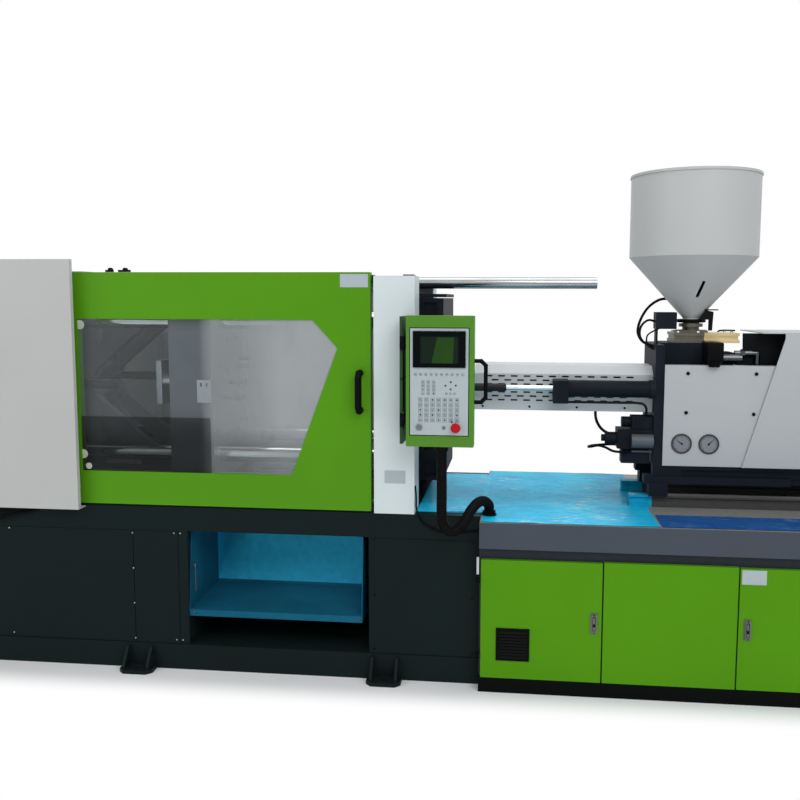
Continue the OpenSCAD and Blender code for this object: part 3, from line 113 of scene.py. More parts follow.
def add_node(nt, kind, **values):
    """A new node. A value goes to the input of that name, or else to the property."""
    n = nt.nodes.new(kind)
    for k, v in values.items():
        if k in n.inputs:
            n.inputs[k].default_value = v
        else:
            setattr(n, k, v)
    return n


def feed(nt, socket, value):
    """Links an output into the socket, or sets the socket to a plain value."""
    if isinstance(value, bpy.types.NodeSocket):
        nt.links.new(value, socket)
    else:
        socket.default_value = value


def calc(nt, operation, first, second):
    n = add_node(nt, "ShaderNodeMath", operation=operation)
    feed(nt, n.inputs[0], first)
    feed(nt, n.inputs[1], second)
    return n.outputs[0]


def calc_vector(nt, operation, first, second=None, out="Vector"):
    n = add_node(nt, "ShaderNodeVectorMath", operation=operation)
    feed(nt, n.inputs[0], first)
    if second is not None:
        feed(nt, n.inputs[1], second)
    return n.outputs[out]


def mix_colour(nt, fac, first, second):
    n = add_node(nt, "ShaderNodeMix", data_type="RGBA")
    feed(nt, n.inputs["Factor"], fac)
    feed(nt, n.inputs["A"], first)
    feed(nt, n.inputs["B"], second)
    return n.outputs["Result"]


def mix_shader(nt, fac, first, second):
    n = add_node(nt, "ShaderNodeMixShader")
    nt.links.new(fac, n.inputs["Fac"])
    nt.links.new(first, n.inputs[1])
    nt.links.new(second, n.inputs[2])
    return n.outputs[0]


def map_range(nt, value, low, high, to_low=0.0, to_high=1.0, kind="LINEAR"):
    n = add_node(nt, "ShaderNodeMapRange", interpolation_type=kind)
    for name, number in (("From Min", low), ("From Max", high), ("To Min", to_low),
                         ("To Max", to_high)):
        n.inputs[name].default_value = number
    nt.links.new(value, n.inputs["Value"])
    return n.outputs["Result"]


def coords(nt, scale=(1, 1, 1)):
    tc = add_node(nt, "ShaderNodeTexCoord")
    mp = add_node(nt, "ShaderNodeMapping", Scale=scale)
    nt.links.new(tc.outputs["Object"], mp.inputs["Vector"])
    return mp.outputs["Vector"]


def split_place(nt):
    """The point's X, Y and Z in metres."""
    sep = add_node(nt, "ShaderNodeSeparateXYZ")
    nt.links.new(coords(nt), sep.inputs[0])
    return sep.outputs


def noise(nt, scale, detail=4, stretch=(1, 1, 1), rough=0.55):
    n = add_node(nt, "ShaderNodeTexNoise", Scale=scale, Detail=detail, Roughness=rough)
    nt.links.new(coords(nt, stretch), n.inputs["Vector"])
    return n.outputs["Fac"]


def ramp(nt, fac, stops):
    r = add_node(nt, "ShaderNodeValToRGB")
    e = r.color_ramp.elements
    while len(e) < len(stops):
        e.new(0.5)
    for el, (pos, col) in zip(e, stops):
        el.position = pos
        el.color = col
    nt.links.new(fac, r.inputs["Fac"])
    return r.outputs["Color"]


def drift(nt, pattern, col, low, high):
    """The colour times low where the pattern is weak, and times high where it is strong."""
    return ramp(nt, pattern, [(0.3, scaled(col, low)), (0.7, scaled(col, high))])


def bump(nt, normal, height, strength, distance):
    """Feeds a bump into a normal socket, and returns the bump's own."""
    b = add_node(nt, "ShaderNodeBump", Strength=strength, Distance=distance)
    nt.links.new(height, b.inputs["Height"])
    nt.links.new(b.outputs["Normal"], normal)
    return b.inputs["Normal"]


def set_gloss(bsdf, rough, spec, metallic=0.0):
    bsdf.inputs["Roughness"].default_value = rough
    bsdf.inputs["Specular IOR Level"].default_value = spec
    bsdf.inputs["Metallic"].default_value = metallic


# Limits of a zone that is open to one side, in metres
FAR = 9


def below(axis, limit):
    return (axis, -FAR, limit)


def above(axis, limit):
    return (axis, limit, FAR)


def zone(nt, limits):
    """1 where the point lies between low and high, in metres, along each axis that is named."""
    place = split_place(nt)
    inside = None
    for axis, low, high in limits:
        for kind, limit in (("GREATER_THAN", low), ("LESS_THAN", high)):
            test = calc(nt, kind, place[axis], limit)
            inside = calc(nt, "MULTIPLY", inside, test) if inside else test
    return inside


def inward(nt, axis_z):
    """1 where a surface faces the X axis at height axis_z, as the inside of a cover round it does."""
    arm = calc_vector(nt, "SUBTRACT", coords(nt, (0, 1, 1)), (0, 0, axis_z))
    normal = add_node(nt, "ShaderNodeNewGeometry").outputs["True Normal"]
    outward = calc_vector(nt, "DOT_PRODUCT", arm, normal, "Value")
    return calc(nt, "LESS_THAN", outward, 0.0)


def second_finish(mat, where, look):
    """Gives the material another look in a zone, or inside a cover where its axis height is given."""
    nt = mat.node_tree
    surface = nt.nodes["Material Output"].inputs["Surface"]
    first = surface.links[0].from_socket
    mask = inward(nt, where) if isinstance(where, float) else zone(nt, where)
    bsdf = add_node(nt, "ShaderNodeBsdfPrincipled")
    colour, rough, metallic, spec = look
    nt.links.new(drift(nt, noise(nt, 30, 6), colour, 0.85, 1.1), bsdf.inputs["Base Color"])
    set_gloss(bsdf, rough, spec, metallic)
    nt.links.new(mix_shader(nt, mask, first, bsdf.outputs[0]), surface)


def edge_wear(nt, colour, bare, amount):
    """Mixes a pale tone in along convex edges."""
    edges = add_node(nt, "ShaderNodeNewGeometry").outputs["Pointiness"]
    return mix_colour(nt, map_range(nt, edges, 0.52, 0.6, to_high=amount), colour, bare)


def paint(name, col, rough=0.35, vary=0.06, spec=0.5, dirt=0.0):
    """Sprayed paint: slow tone drift, fine orange peel and faint smudges in the gloss."""
    mat, nt, bsdf = new_material(name)
    colour = drift(nt, noise(nt, 1.7, 3), col, 1 - vary, 1 + vary)
    if dirt:
        spots = ramp(nt, noise(nt, 38, 8, rough=0.7), [(0.60, grey(0)), (0.72, grey(1))])
        colour = mix_colour(nt, calc(nt, "MULTIPLY", spots, dirt), colour, scaled(col, 0.6))
    nt.links.new(colour, bsdf.inputs["Base Color"])
    smudge = ramp(nt, noise(nt, 6, 6), [(0.35, grey(rough * 0.85)), (0.75, grey(min(rough * 1.25, 1)))])
    nt.links.new(smudge, bsdf.inputs["Roughness"])
    bsdf.inputs["Specular IOR Level"].default_value = spec
    bump(nt, bsdf.inputs["Normal"], noise(nt, 420, 2), 0.06, 0.0006)
    return mat


def metal(name, col, rough, brushed=(1, 1, 1), scale=260, strength=0.08):
    """Bare metal with a grain, which brushed draws out along one axis."""
    mat, nt, bsdf = new_material(name)
    grain = noise(nt, scale, 3, brushed)
    nt.links.new(drift(nt, grain, col, 0.86, 1.08), bsdf.inputs["Base Color"])
    bsdf.inputs["Metallic"].default_value = 1.0
    dull = ramp(nt, noise(nt, 9, 5), [(0.3, grey(rough * 0.8)), (0.7, grey(min(rough * 1.3, 1)))])
    nt.links.new(dull, bsdf.inputs["Roughness"])
    bump(nt, bsdf.inputs["Normal"], grain, strength, 0.0004)
    return mat


def plastic(name, col, rough=0.45, grain=0.12, spec=0.5):
    """Moulded plastic with a fine grain."""
    mat, nt, bsdf = new_material(name)
    nt.links.new(drift(nt, noise(nt, 14, 4), col, 0.92, 1.1), bsdf.inputs["Base Color"])
    set_gloss(bsdf, rough, spec)
    bump(nt, bsdf.inputs["Normal"], noise(nt, 900, 2), grain, 0.0003)
    return mat


def cast_paint(name, col, rough=0.5, spec=0.5):
    """Painted casting: sand-cast grain under satin paint."""
    mat, nt, bsdf = new_material(name)
    colour = edge_wear(nt, drift(nt, noise(nt, 7, 6), col, 0.8, 1.25), scaled(col, 2.2), 0.35)
    nt.links.new(colour, bsdf.inputs["Base Color"])
    set_gloss(bsdf, rough, spec)
    bump(nt, bsdf.inputs["Normal"], noise(nt, 160, 6, rough=0.65), 0.25, 0.0012)
    return mat


def film(name, base, low=0.62, high=1.25, crease_depth=0.5, glints=0.0, shade=0.0):
    """Blue protective film: wrinkles with sharp creases, and painted highlight streaks where they catch
    the light.
    """
    mat, nt, bsdf = new_material(name)
    tones = [(0.25, scaled(base, low)), (0.5, base), (0.75, scaled(base, high))]
    tone = ramp(nt, noise(nt, 5, 5), tones)
    if glints:
        # Painted highlight: white streaks, in patches, mixed into the film's colour as glints
        streak = ramp(nt, noise(nt, 34, 8, (0.5, 2.2, 1), 0.7), [(0.53, grey(0)), (0.61, grey(1))])
        patch = ramp(nt, noise(nt, 2.6, 3, (1, 1.6, 1)), [(0.48, grey(0)), (0.62, grey(glints))])
        tone = mix_colour(nt, calc(nt, "MULTIPLY", streak, patch), tone, srgb(236, 244, 246))
    if shade:
        # Painted shade: the film's colour darkens along X towards the carriage
        carriage_shade_mask = map_range(nt, split_place(nt)["X"], 0.62, 0.98, to_high=shade)
        tone = mix_colour(nt, carriage_shade_mask, tone, srgb(16, 58, 96))
    nt.links.new(tone, bsdf.inputs["Base Color"])
    set_gloss(bsdf, 0.22, 0.03)
    place = coords(nt, (0.55, 1.5, 1))
    warp = add_node(nt, "ShaderNodeTexNoise", Scale=14, Detail=5)
    nt.links.new(place, warp.inputs["Vector"])
    shift = add_node(nt, "ShaderNodeVectorMath", operation="SCALE")
    shift.inputs["Scale"].default_value = 0.22
    nt.links.new(warp.outputs["Color"], shift.inputs[0])
    cells = add_node(nt, "ShaderNodeTexVoronoi", feature="DISTANCE_TO_EDGE", Scale=9)
    nt.links.new(calc_vector(nt, "ADD", place, shift.outputs[0]), cells.inputs["Vector"])
    crease = ramp(nt, cells.outputs["Distance"], [(0.0, grey(1)), (0.07, grey(0.1)), (0.3, grey(0))])
    under = bump(nt, bsdf.inputs["Normal"], crease, crease_depth, 0.004)
    bump(nt, under, noise(nt, 16, 6, (0.6, 1.6, 1), 0.7), 0.6, 0.01)
    return mat


def clear_sheet(name):
    """Dusty polycarbonate: clear on the left, with a milky painted reflection of a bright wall on the
    right.
    """
    mat, nt, bsdf = new_material(name)
    nt.nodes.remove(bsdf)
    clear = add_node(nt, "ShaderNodeBsdfTransparent", Color=(0.93, 0.95, 0.96, 1))
    veil = add_node(nt, "ShaderNodeBsdfPrincipled", Roughness=0.25)
    veil.inputs["Base Color"].default_value = srgb(176, 180, 180)
    place = split_place(nt)
    # Partly real dust, partly painted reflection: a pale veil that grows along X and is weaker low down
    # stands for a bright wall mirrored in the sheet
    along = map_range(nt, place["X"], -1.46, -0.33)
    dust_and_reflection_by_x = ramp(nt, along, [(0.0, grey(0.11)), (0.47, grey(0.055)), (0.525, grey(0.42)),
                            (0.62, grey(0.42)), (0.78, grey(0.66))])
    patchy = ramp(nt, noise(nt, 3.2, 6, (1, 1, 0.6)), [(0.3, grey(0.8)), (0.75, grey(1.1))])
    upper = map_range(nt, place["Z"], 0.98, 1.08, to_low=0.45)
    dust_and_reflection = calc(nt, "MULTIPLY", calc(nt, "MULTIPLY", dust_and_reflection_by_x, patchy), upper)
    dust_and_reflection_shader = mix_shader(nt, dust_and_reflection, clear.outputs[0], veil.outputs[0])
    # Painted shade: the sheet's lower left is darkened towards a dark diffuse, where the inside behind
    # it lies in shade
    dark = add_node(nt, "ShaderNodeBsdfDiffuse", Color=srgb(14, 18, 18))
    painted_shade_corner = calc(nt, "MULTIPLY", zone(nt, [below("X", -0.885), ("Z", 0.5, 1.096)]), 0.42)
    shaded = mix_shader(nt, painted_shade_corner, dust_and_reflection_shader, dark.outputs[0])
    gloss = add_node(nt, "ShaderNodeBsdfGlossy", Roughness=0.04)
    mirror = add_node(nt, "ShaderNodeFresnel", IOR=1.15)
    whole = mix_shader(nt, mirror.outputs[0], shaded, gloss.outputs[0])
    nt.links.new(whole, nt.nodes["Material Output"].inputs["Surface"])
    return mat


# Materials
LIME = srgb(82, 144, 20)
WHITE = srgb(174, 178, 179)
FILM_CYAN = srgb(34, 204, 250)
CAST_DARK = srgb(20, 25, 32)
CABINET_GREY = srgb(66, 73, 83)
MATS = {
    "lime": paint("lime", LIME, 0.34, 0.05, spec=0.04),
    "lime_door": paint("lime_door", LIME, 0.34, 0.05, spec=0.1),
    "white": paint("white", WHITE, 0.42, 0.025, spec=0.3, dirt=0.05),
    "white_hood": paint("white_hood", srgb(184, 184, 181), 0.42, 0.025, spec=0.3, dirt=0.05),
    # Painted light: the column covers' white is set brighter than the other covers' to lift the shade
    # they lie in
    "white_column_painted_light": paint("white_column_painted_light", srgb(210, 220, 220), 0.42, 0.025, spec=0.3),
    "base": paint("base", srgb(22, 32, 32), 0.42, 0.1, spec=0.05, dirt=0.12),
    "casting": cast_paint("casting", CAST_DARK, spec=0.06),
    "link": cast_paint("link", srgb(70, 74, 80), 0.45, 0.3),
    "steel": metal("steel", (0.55, 0.57, 0.6), 0.32, (0.05, 1, 1)),
    "chrome": metal("chrome", (0.55, 0.58, 0.58), 0.1, (0.2, 1, 1), 30, 0.01),
    "bar_chrome": metal("bar_chrome", (0.36, 0.38, 0.38), 0.16, (0.2, 1, 1), 30, 0.01),
    "dark_chrome": metal("dark_chrome", (0.1, 0.105, 0.115), 0.18, scale=30, strength=0.01),
    "latch": metal("latch", (0.16, 0.175, 0.14), 0.4, scale=60, strength=0.02),
    "heater": metal("heater", (0.05, 0.05, 0.052), 0.5),
    "film": film("film", FILM_CYAN, low=0.8, glints=0.75, shade=0.45),
    "film_blue": film("film_blue", srgb(28, 76, 134), glints=0.15),
    "clear": clear_sheet("clear"),
    "black": plastic("black", srgb(9, 10, 10), spec=0.05),
    "rubber": plastic("rubber", srgb(9, 9, 10), 0.5, spec=0.06),
    "plate": paint("plate", srgb(170, 181, 184), 0.4, 0.03, spec=0.3),
    "screen": plastic("screen", srgb(24, 36, 28), 0.2, 0.01, 0.05),
    "lit": plastic("lit", srgb(38, 68, 26), 0.2, 0.01, 0.05),
    "bezel": plastic("bezel", srgb(8, 11, 13), 0.3, 0.03, 0.04),
    "red": plastic("red", srgb(176, 20, 26), 0.3, 0.03, 0.12),
    "gauge_ring": plastic("gauge_ring", srgb(58, 60, 62), 0.35, spec=0.2),
    "print": plastic("print", srgb(52, 66, 74), 0.5, spec=0.1),
    "dial": plastic("dial", srgb(120, 124, 128), 0.3, 0.02, 0.3),
    "dark": plastic("dark", srgb(17, 19, 21), 0.6, spec=0.06),
    "tab": plastic("tab", srgb(190, 196, 176), 0.4),
    "socket": plastic("socket", srgb(104, 110, 112), 0.4),
}
NODE_MATS = {
    "base": ["clamp_base", "base_panels", "anchor_feet"],
    "lime_arm": ["panel_arm"],
    "film_deck": ["deck_sheet"],
    "lime_panel": ["panel_housing"],
    "cover_barrel": ["barrel_cover"],
    "tray_blue": ["discharge_tray"],
    "white_hood": ["clamp_hood", "hopper_lid"],
    "white_hopper": ["hopper"],
    "white_column_painted_light": ["column_covers"],
    "white": ["front_cover", "rear_cover"],
    "door_rear": ["rear_door"],
    "rail_steel": ["injection_rails"],
    "steel": ["ejector_plate", "crosshead", "cross_link_upper", "cross_link_lower",
              "electrical_plate"],
    "dark_chrome": ["pressure_gauges"],
    "dial": ["key_switch"],
    "latch": ["latch_1", "latch_3"],
    "heater": ["barrel"],
    "lime_door": ["front_door"],
    "lime": ["fixed_panels", "cabinet_door_1", "cabinet_door_3"],
    "clear": ["front_window"],
    "black": ["door_handle", "vent_grille", "panel_handle"],
    "casting": ["door_rails", "rear_platen", "clamp_cylinder", "safety_bracket", "carriage_frame",
                "feed_housing", "valve_block", "injection_drive", "pump_motor", "seat_cylinders"],
    "platen_moving": ["moving_platen"],
    "platen_fixed": ["fixed_platen"],
    "rod_seat": ["seat_rods"],
    "link": ["rear_link_upper", "rear_link_lower", "front_link_upper", "front_link_lower"],
    "chrome": ["tie_bars", "screw"],
    "bar_chrome": ["safety_bar"],
    "base_cabinet": ["injection_base"],
    "brass_slide": ["slide_base"],
    "plate": ["panel_face"],
    "bezel": ["panel_screen"],
    "red": ["emergency_stop"],
    "rubber": ["panel_hose"],
}

# Second looks: colour, roughness, metallic and specular level
SOFT_BLACK = (srgb(10, 11, 12), 0.5, 0.0, 0.05)
DARK_STEEL = (srgb(24, 27, 31), 0.5, 0.0, 0.2)
MACHINED = (srgb(150, 152, 154), 0.4, 0.6, 0.5)
# Painted shade: the inside faces of the barrel cover are made dark
SHADED_INSIDE = (srgb(34, 36, 38), 0.7, 0.0, 0.2)
DECK_METAL = (srgb(132, 131, 128), 0.36, 0.2, 0.15)
FLANGE_GREY = (srgb(96, 93, 82), 0.4, 0.6, 0.4)
PLINTH_BLACK = (srgb(11, 13, 13), 0.5, 0.0, 0.04)
RECESS_GREY = (srgb(34, 39, 47), 0.45, 0.0, 0.2)
# Painted light: a brighter copy of the tray's blue film for its back wall, which lies in shade
LIT_BACK_WALL_BLUE = (srgb(48, 172, 212), 0.4, 0.0, 0.03)
RAIL_FILM = (scaled(FILM_CYAN, 0.55), 0.3, 0.0, 0.03)

# Places where a part changes its finish, in metres
SKIN = 0.001
MOV_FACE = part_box("moving_platen")[1].x
FIX_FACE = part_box("fixed_platen")[0].x
RECESS_TOP = 0.5985
PLINTH_TOP = 0.0625
SEAT_ROD_PLAIN_TO = 0.345
BARREL_AXIS = 1.21
STRIP_END = 0.2505
HOSE_FLANGE_FROM = 0.7076
HOUSING_HINGE_TO = -0.0372
HOUSING_GLAND_TO = 1.0218
HOUSING_BACK_FROM = -0.5328
ARM_KNUCKLES = (("Z", 1.397, 1.453), ("Z", 1.094, 1.151), ("Z", 1.281, 1.287))
HOPPER_FLANGE_TO = 1.5
SLIDE_FLANGE_TO = 1.19
TRAY_WALL_BEHIND = -0.085
TRAY_WALL_FROM = 0.285
RAIL_FILM_TO = 0.975
# Painted shade: the rear door's lower left, behind the moving platen, is made black
REAR_DOOR_SHADE = [below("Z", 0.972), below("X", -0.99)]

# Materials with more than one look: name, first look, then place and look of each other one
SEVERAL = (
    ("platen_moving", cast_paint("platen_moving", srgb(84, 88, 91), 0.42, 0.3),
     [([above("X", MOV_FACE - SKIN)], MACHINED)]),
    ("platen_fixed", cast_paint("platen_fixed", CAST_DARK, spec=0.06),
     [([below("X", FIX_FACE + SKIN)], MACHINED)]),
    ("base_cabinet", paint("base_cabinet", CABINET_GREY, 0.4, 0.05, spec=0.2),
     [([below("Z", RECESS_TOP)], RECESS_GREY), ([below("Z", PLINTH_TOP)], PLINTH_BLACK)]),
    ("rod_seat", metal("rod_seat", (0.6, 0.62, 0.63), 0.12, scale=30, strength=0.01),
     [([below("X", SEAT_ROD_PLAIN_TO)], DARK_STEEL)]),
    ("cover_barrel", paint("cover_barrel", srgb(190, 194, 195), 0.42, 0.025, spec=0.3),
     # The cover's inside faces get the painted shade.
     [(BARREL_AXIS, SHADED_INSIDE)]),
    ("film_deck", film("film_deck", FILM_CYAN),
     [([above("X", STRIP_END)], DECK_METAL),
      ([above("X", STRIP_END), above("Z", HOSE_FLANGE_FROM)], SOFT_BLACK)]),
    ("lime_panel", paint("lime_panel", srgb(84, 134, 48), 0.34, 0.05, spec=0.04),
     [([below("X", HOUSING_HINGE_TO)], SOFT_BLACK), ([below("Z", HOUSING_GLAND_TO)], SOFT_BLACK),
      ([above("Y", HOUSING_BACK_FROM)], SOFT_BLACK)]),
    ("lime_arm", paint("lime_arm", srgb(50, 78, 48), 0.4, 0.05, spec=0.04),
     [([knuckle], SOFT_BLACK) for knuckle in ARM_KNUCKLES]),
    ("white_hopper", paint("white_hopper", srgb(181, 183, 182), 0.42, 0.025, spec=0.3),
     [([below("Z", HOPPER_FLANGE_TO)], FLANGE_GREY)]),
    ("brass_slide", metal("brass_slide", (0.62, 0.5, 0.27), 0.3, (0.08, 1, 1)),
     [([below("X", SLIDE_FLANGE_TO)], FLANGE_GREY)]),
    ("tray_blue", film("tray_blue", srgb(24, 92, 118), low=0.8, high=1.15, crease_depth=0.25),
     # The tray's back wall gets the painted light.
     [([above("Y", TRAY_WALL_BEHIND), above("Z", TRAY_WALL_FROM)], LIT_BACK_WALL_BLUE)]),
    ("rail_steel", paint("rail_steel", srgb(66, 66, 65), 0.3, 0.1, spec=0.2),
     [([below("X", RAIL_FILM_TO)], RAIL_FILM)]),
    # The rear door gets painted shade in its lower left.
    ("door_rear", paint("door_rear", WHITE, 0.42, 0.025, spec=0.3), [(REAR_DOOR_SHADE, SOFT_BLACK)]),
)
for label, source, changes in SEVERAL:
    for where, look in changes:
        second_finish(source, where, look)
    MATS[label] = source
for mat_name, node_names in NODE_MATS.items():
    for node_name in node_names:
        data = NODES[node_name].data
        data.materials.clear()
        data.materials.append(MATS[mat_name])


# Floor, light and world
FOOTPRINT = (2.7, 0.52, 0)
FLOOR_HALF = 30
SHADOW_REACH = 0.2


def make_stage():
    """A pale floor that keeps the shadow beside the machine and turns white further out."""
    mesh = bpy.data.meshes.new("floor")
    bm = bmesh.new()
    bmesh.ops.create_grid(bm, x_segments=1, y_segments=1, size=FLOOR_HALF)
    bm.to_mesh(mesh)
    bm.free()
    floor = bpy.data.objects.new("floor", mesh)
    bpy.context.collection.objects.link(floor)
    mat, nt, bsdf = new_material("floor")
    bsdf.inputs["Base Color"].default_value = grey(0.92)
    bsdf.inputs["Roughness"].default_value = 0.7
    white = add_node(nt, "ShaderNodeEmission")
    beyond = calc_vector(nt, "SUBTRACT", calc_vector(nt, "ABSOLUTE", coords(nt)), FOOTPRINT)
    reach = calc_vector(nt, "LENGTH", calc_vector(nt, "MAXIMUM", beyond, (0, 0, 0)), out="Value")
    fade = map_range(nt, reach, 0.0, SHADOW_REACH, kind="SMOOTHSTEP")
    ray = add_node(nt, "ShaderNodeLightPath").outputs
    seen = calc(nt, "MAXIMUM", ray["Is Camera Ray"], ray["Is Transmission Ray"])
    whole = mix_shader(nt, calc(nt, "MULTIPLY", fade, seen), bsdf.outputs[0], white.outputs[0])
    nt.links.new(whole, nt.nodes["Material Output"].inputs["Surface"])
    mesh.materials.append(mat)


def area_light(name, place, target, size, power, size_y=None):
    light = bpy.data.lights.new(name, "AREA")
    light.shape = "RECTANGLE"
    light.size = size
    light.size_y = size_y or size
    light.energy = power
    obj = bpy.data.objects.new(name, light)
    obj.location = place
    obj.rotation_euler = (Vector(target) - Vector(place)).to_track_quat("-Z", "Y").to_euler()
    bpy.context.collection.objects.link(obj)


def make_world():
    """A dim bluish sky for the light, and a white one wherever it is seen or mirrored."""
    world = bpy.data.worlds.new("world")
    bpy.context.scene.world = world
    world.use_nodes = True
    nt = world.node_tree
    sky = nt.nodes["Background"]
    sky.inputs["Color"].default_value = (0.9, 0.94, 1.0, 1)
    sky.inputs["Strength"].default_value = 0.5
    white = add_node(nt, "ShaderNodeBackground", Color=(1, 1, 1, 1), Strength=1.0)
    ray = add_node(nt, "ShaderNodeLightPath").outputs
    seen = calc(nt, "MAXIMUM", ray["Is Camera Ray"], ray["Is Transmission Ray"])
    seen = calc(nt, "MAXIMUM", seen, ray["Is Glossy Ray"])
    whole = mix_shader(nt, seen, sky.outputs[0], white.outputs[0])
    nt.links.new(whole, nt.nodes["World Output"].inputs["Surface"])


make_stage()
make_world()
area_light("key", (2.2, -4.5, 4.6), (0.4, 0, 0.9), 4.0, 140, 3.0)
area_light("fill", (-4.5, -4.0, 3.2), (-0.6, 0, 1.0), 3.5, 60)
area_light("top", (0.0, 0.5, 5.2), (0, 0, 0.8), 6.0, 110, 3.0)
bpy.context.scene.view_settings.view_transform = "Standard"


# Mesh helpers

def finish_mesh(name, bm, mat, body, smooth=True):
    mesh = bpy.data.meshes.new(name)
    bmesh.ops.recalc_face_normals(bm, faces=bm.faces)
    bm.to_mesh(mesh)
    bm.free()
    if smooth:
        for p in mesh.polygons:
            p.use_smooth = True
        mesh.set_sharp_from_angle(angle=math.radians(35))
    mesh.materials.append(MATS[mat])
    obj = bpy.data.objects.new(name, mesh)
    bpy.context.collection.objects.link(obj)
    if body:
        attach(obj, body)
    return obj


def add_box(bm, lo, hi, bevel=0.0):
    size = Vector(hi) - Vector(lo)
    mid = (Vector(hi) + Vector(lo)) / 2
    place = Matrix.Translation(mid) @ Matrix.Diagonal((*size, 1))
    made = bmesh.ops.create_cube(bm, size=1, matrix=place)
    if bevel:
        edges = list(dict.fromkeys(e for v in made["verts"] for e in v.link_edges))
        bmesh.ops.bevel(bm, geom=edges, offset=bevel, segments=2, affect="EDGES", profile=0.6)


def add_rod(bm, a, b, r, segments=24, r2=None):
    """A round rod from a to b, which narrows to the radius r2 where one is given."""
    a, b = Vector(a), Vector(b)
    turn = (b - a).to_track_quat("Z", "Y").to_matrix().to_4x4()
    place = Matrix.Translation((a + b) / 2) @ turn
    bmesh.ops.create_cone(bm, cap_ends=True, segments=segments, radius1=r,
                          radius2=r if r2 is None else r2, depth=(b - a).length, matrix=place)


def add_prism(bm, outline, y0, y1):
    """A plate with an outline of (x, z) points between two Y planes."""
    near, far = ([bm.verts.new((x, y, z)) for x, z in outline] for y in (y0, y1))
    bm.faces.new(near)
    bm.faces.new(list(reversed(far)))
    for i in range(len(outline)):
        j = (i + 1) % len(outline)
        bm.faces.new((near[i], far[i], far[j], near[j]))


def join_rings(bm, a, b):
    """Faces between two closed rings of as many points."""
    for i in range(len(a)):
        j = (i + 1) % len(a)
        bm.faces.new((a[i], a[j], b[j], b[i]))


def add_screw(bm, place, out, r, h):
    """A socket screw: chamfered head with a hexagon recess."""
    turn = Vector(out).to_track_quat("Z", "Y").to_matrix().to_4x4()
    place = Matrix.Translation(Vector(place)) @ turn
    rings = [(r, 0), (r, h * 0.75), (r * 0.86, h), (r * 0.5, h), (r * 0.46, h * 0.35)]
    turns = [(math.cos(a * math.pi / 6), math.sin(a * math.pi / 6)) for a in range(12)]
    last = None
    for radius, z in rings:
        ring = [bm.verts.new(place @ Vector((radius * c, radius * s, z))) for c, s in turns]
        if last:
            join_rings(bm, last, ring)
        last = ring
    bm.faces.new(last)


def smooth_path(points, n):
    """Points along a Catmull-Rom curve through the given points."""
    pts = [Vector(p) for p in points]
    out = []
    for i in range(len(pts) - 1):
        p0 = pts[max(i - 1, 0)]
        p1, p2 = pts[i], pts[i + 1]
        p3 = pts[min(i + 2, len(pts) - 1)]
        for k in range(n):
            t = k / n
            out.append(0.5 * ((2 * p1) + (p2 - p0) * t + (2 * p0 - 5 * p1 + 4 * p2 - p3) * t * t
                              + (3 * p1 - p0 - 3 * p2 + p3) * t ** 3))
    out.append(pts[-1])
    return out


def even_path(points, step):
    """The path cut to even steps."""
    fine = smooth_path(points, 12)
    length = sum((b - a).length for a, b in zip(fine, fine[1:]))
    count = max(int(round(length / step)), 2)
    out = [fine[0].copy()]
    need = length / count
    run = 0.0
    for a, b in zip(fine, fine[1:]):
        d = (b - a).length
        while run + d >= need and len(out) < count:
            t = (need - run) / d
            a = a.lerp(b, t)
            d = (b - a).length
            out.append(a.copy())
            run = 0.0
        run += d
    out.append(fine[-1].copy())
    return out


def sweep(bm, path, radii, segments):
    """A tube along the path with one radius for each point."""
    turns = [2 * math.pi * k / segments for k in range(segments)]
    last = None
    side = None
    for i, p in enumerate(path):
        d = (path[min(i + 1, len(path) - 1)] - path[max(i - 1, 0)]).normalized()
        if side is None:
            side = d.cross(Vector((1, 0, 0)) if abs(d.x) < 0.9 else Vector((0, 1, 0))).normalized()
        side = (side - d * side.dot(d)).normalized()
        up = d.cross(side)
        ring = [bm.verts.new(p + radii[i] * (math.cos(a) * side + math.sin(a) * up)) for a in turns]
        if last:
            join_rings(bm, last, ring)
        else:
            bm.faces.new(list(reversed(ring)))
        last = ring
    bm.faces.new(last)


# Panel hose: ribbed conduit from the panel's gland to the deck flange
HOSE_D = 0.042
RIB_STEP = 0.0021
RIB_DEPTH = 0.0016
HOSE_POINTS = [
    (0.102, -0.563, 1.0), (0.102, -0.563, 0.93), (0.102, -0.563, 0.87),
    (0.102, -0.563, 0.81), (0.102, -0.563, 0.787), (0.102, -0.564, 0.766),
    (0.103, -0.564, 0.745), (0.105, -0.565, 0.725), (0.11, -0.566, 0.707),
    (0.119, -0.567, 0.692), (0.132, -0.566, 0.682), (0.147, -0.565, 0.679),
    (0.162, -0.563, 0.684), (0.175, -0.558, 0.695), (0.187, -0.553, 0.709),
    (0.197, -0.546, 0.724), (0.206, -0.536, 0.74), (0.215, -0.525, 0.755),
    (0.225, -0.512, 0.766), (0.235, -0.497, 0.775), (0.244, -0.48, 0.779),
    (0.254, -0.463, 0.78), (0.263, -0.446, 0.777), (0.271, -0.43, 0.77),
    (0.278, -0.417, 0.761), (0.283, -0.405, 0.751), (0.284, -0.4, 0.741),
    (0.284, -0.4, 0.7273),
]


def make_hose():
    """The ribbed tube and its length."""
    path = even_path(HOSE_POINTS, RIB_STEP)
    radii = [HOSE_D / 2 - (RIB_DEPTH if i % 4 in (2, 3) else 0.0) for i in range(len(path))]
    bm = bmesh.new()
    sweep(bm, path, radii, 20)
    hose = finish_mesh("panel_conduit", bm, "rubber", None)
    length = sum((b - a).length for a, b in zip(path, path[1:]))
    return hose, length


hose, hose_length = make_hose()
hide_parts("panel_hose")
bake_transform(hose)


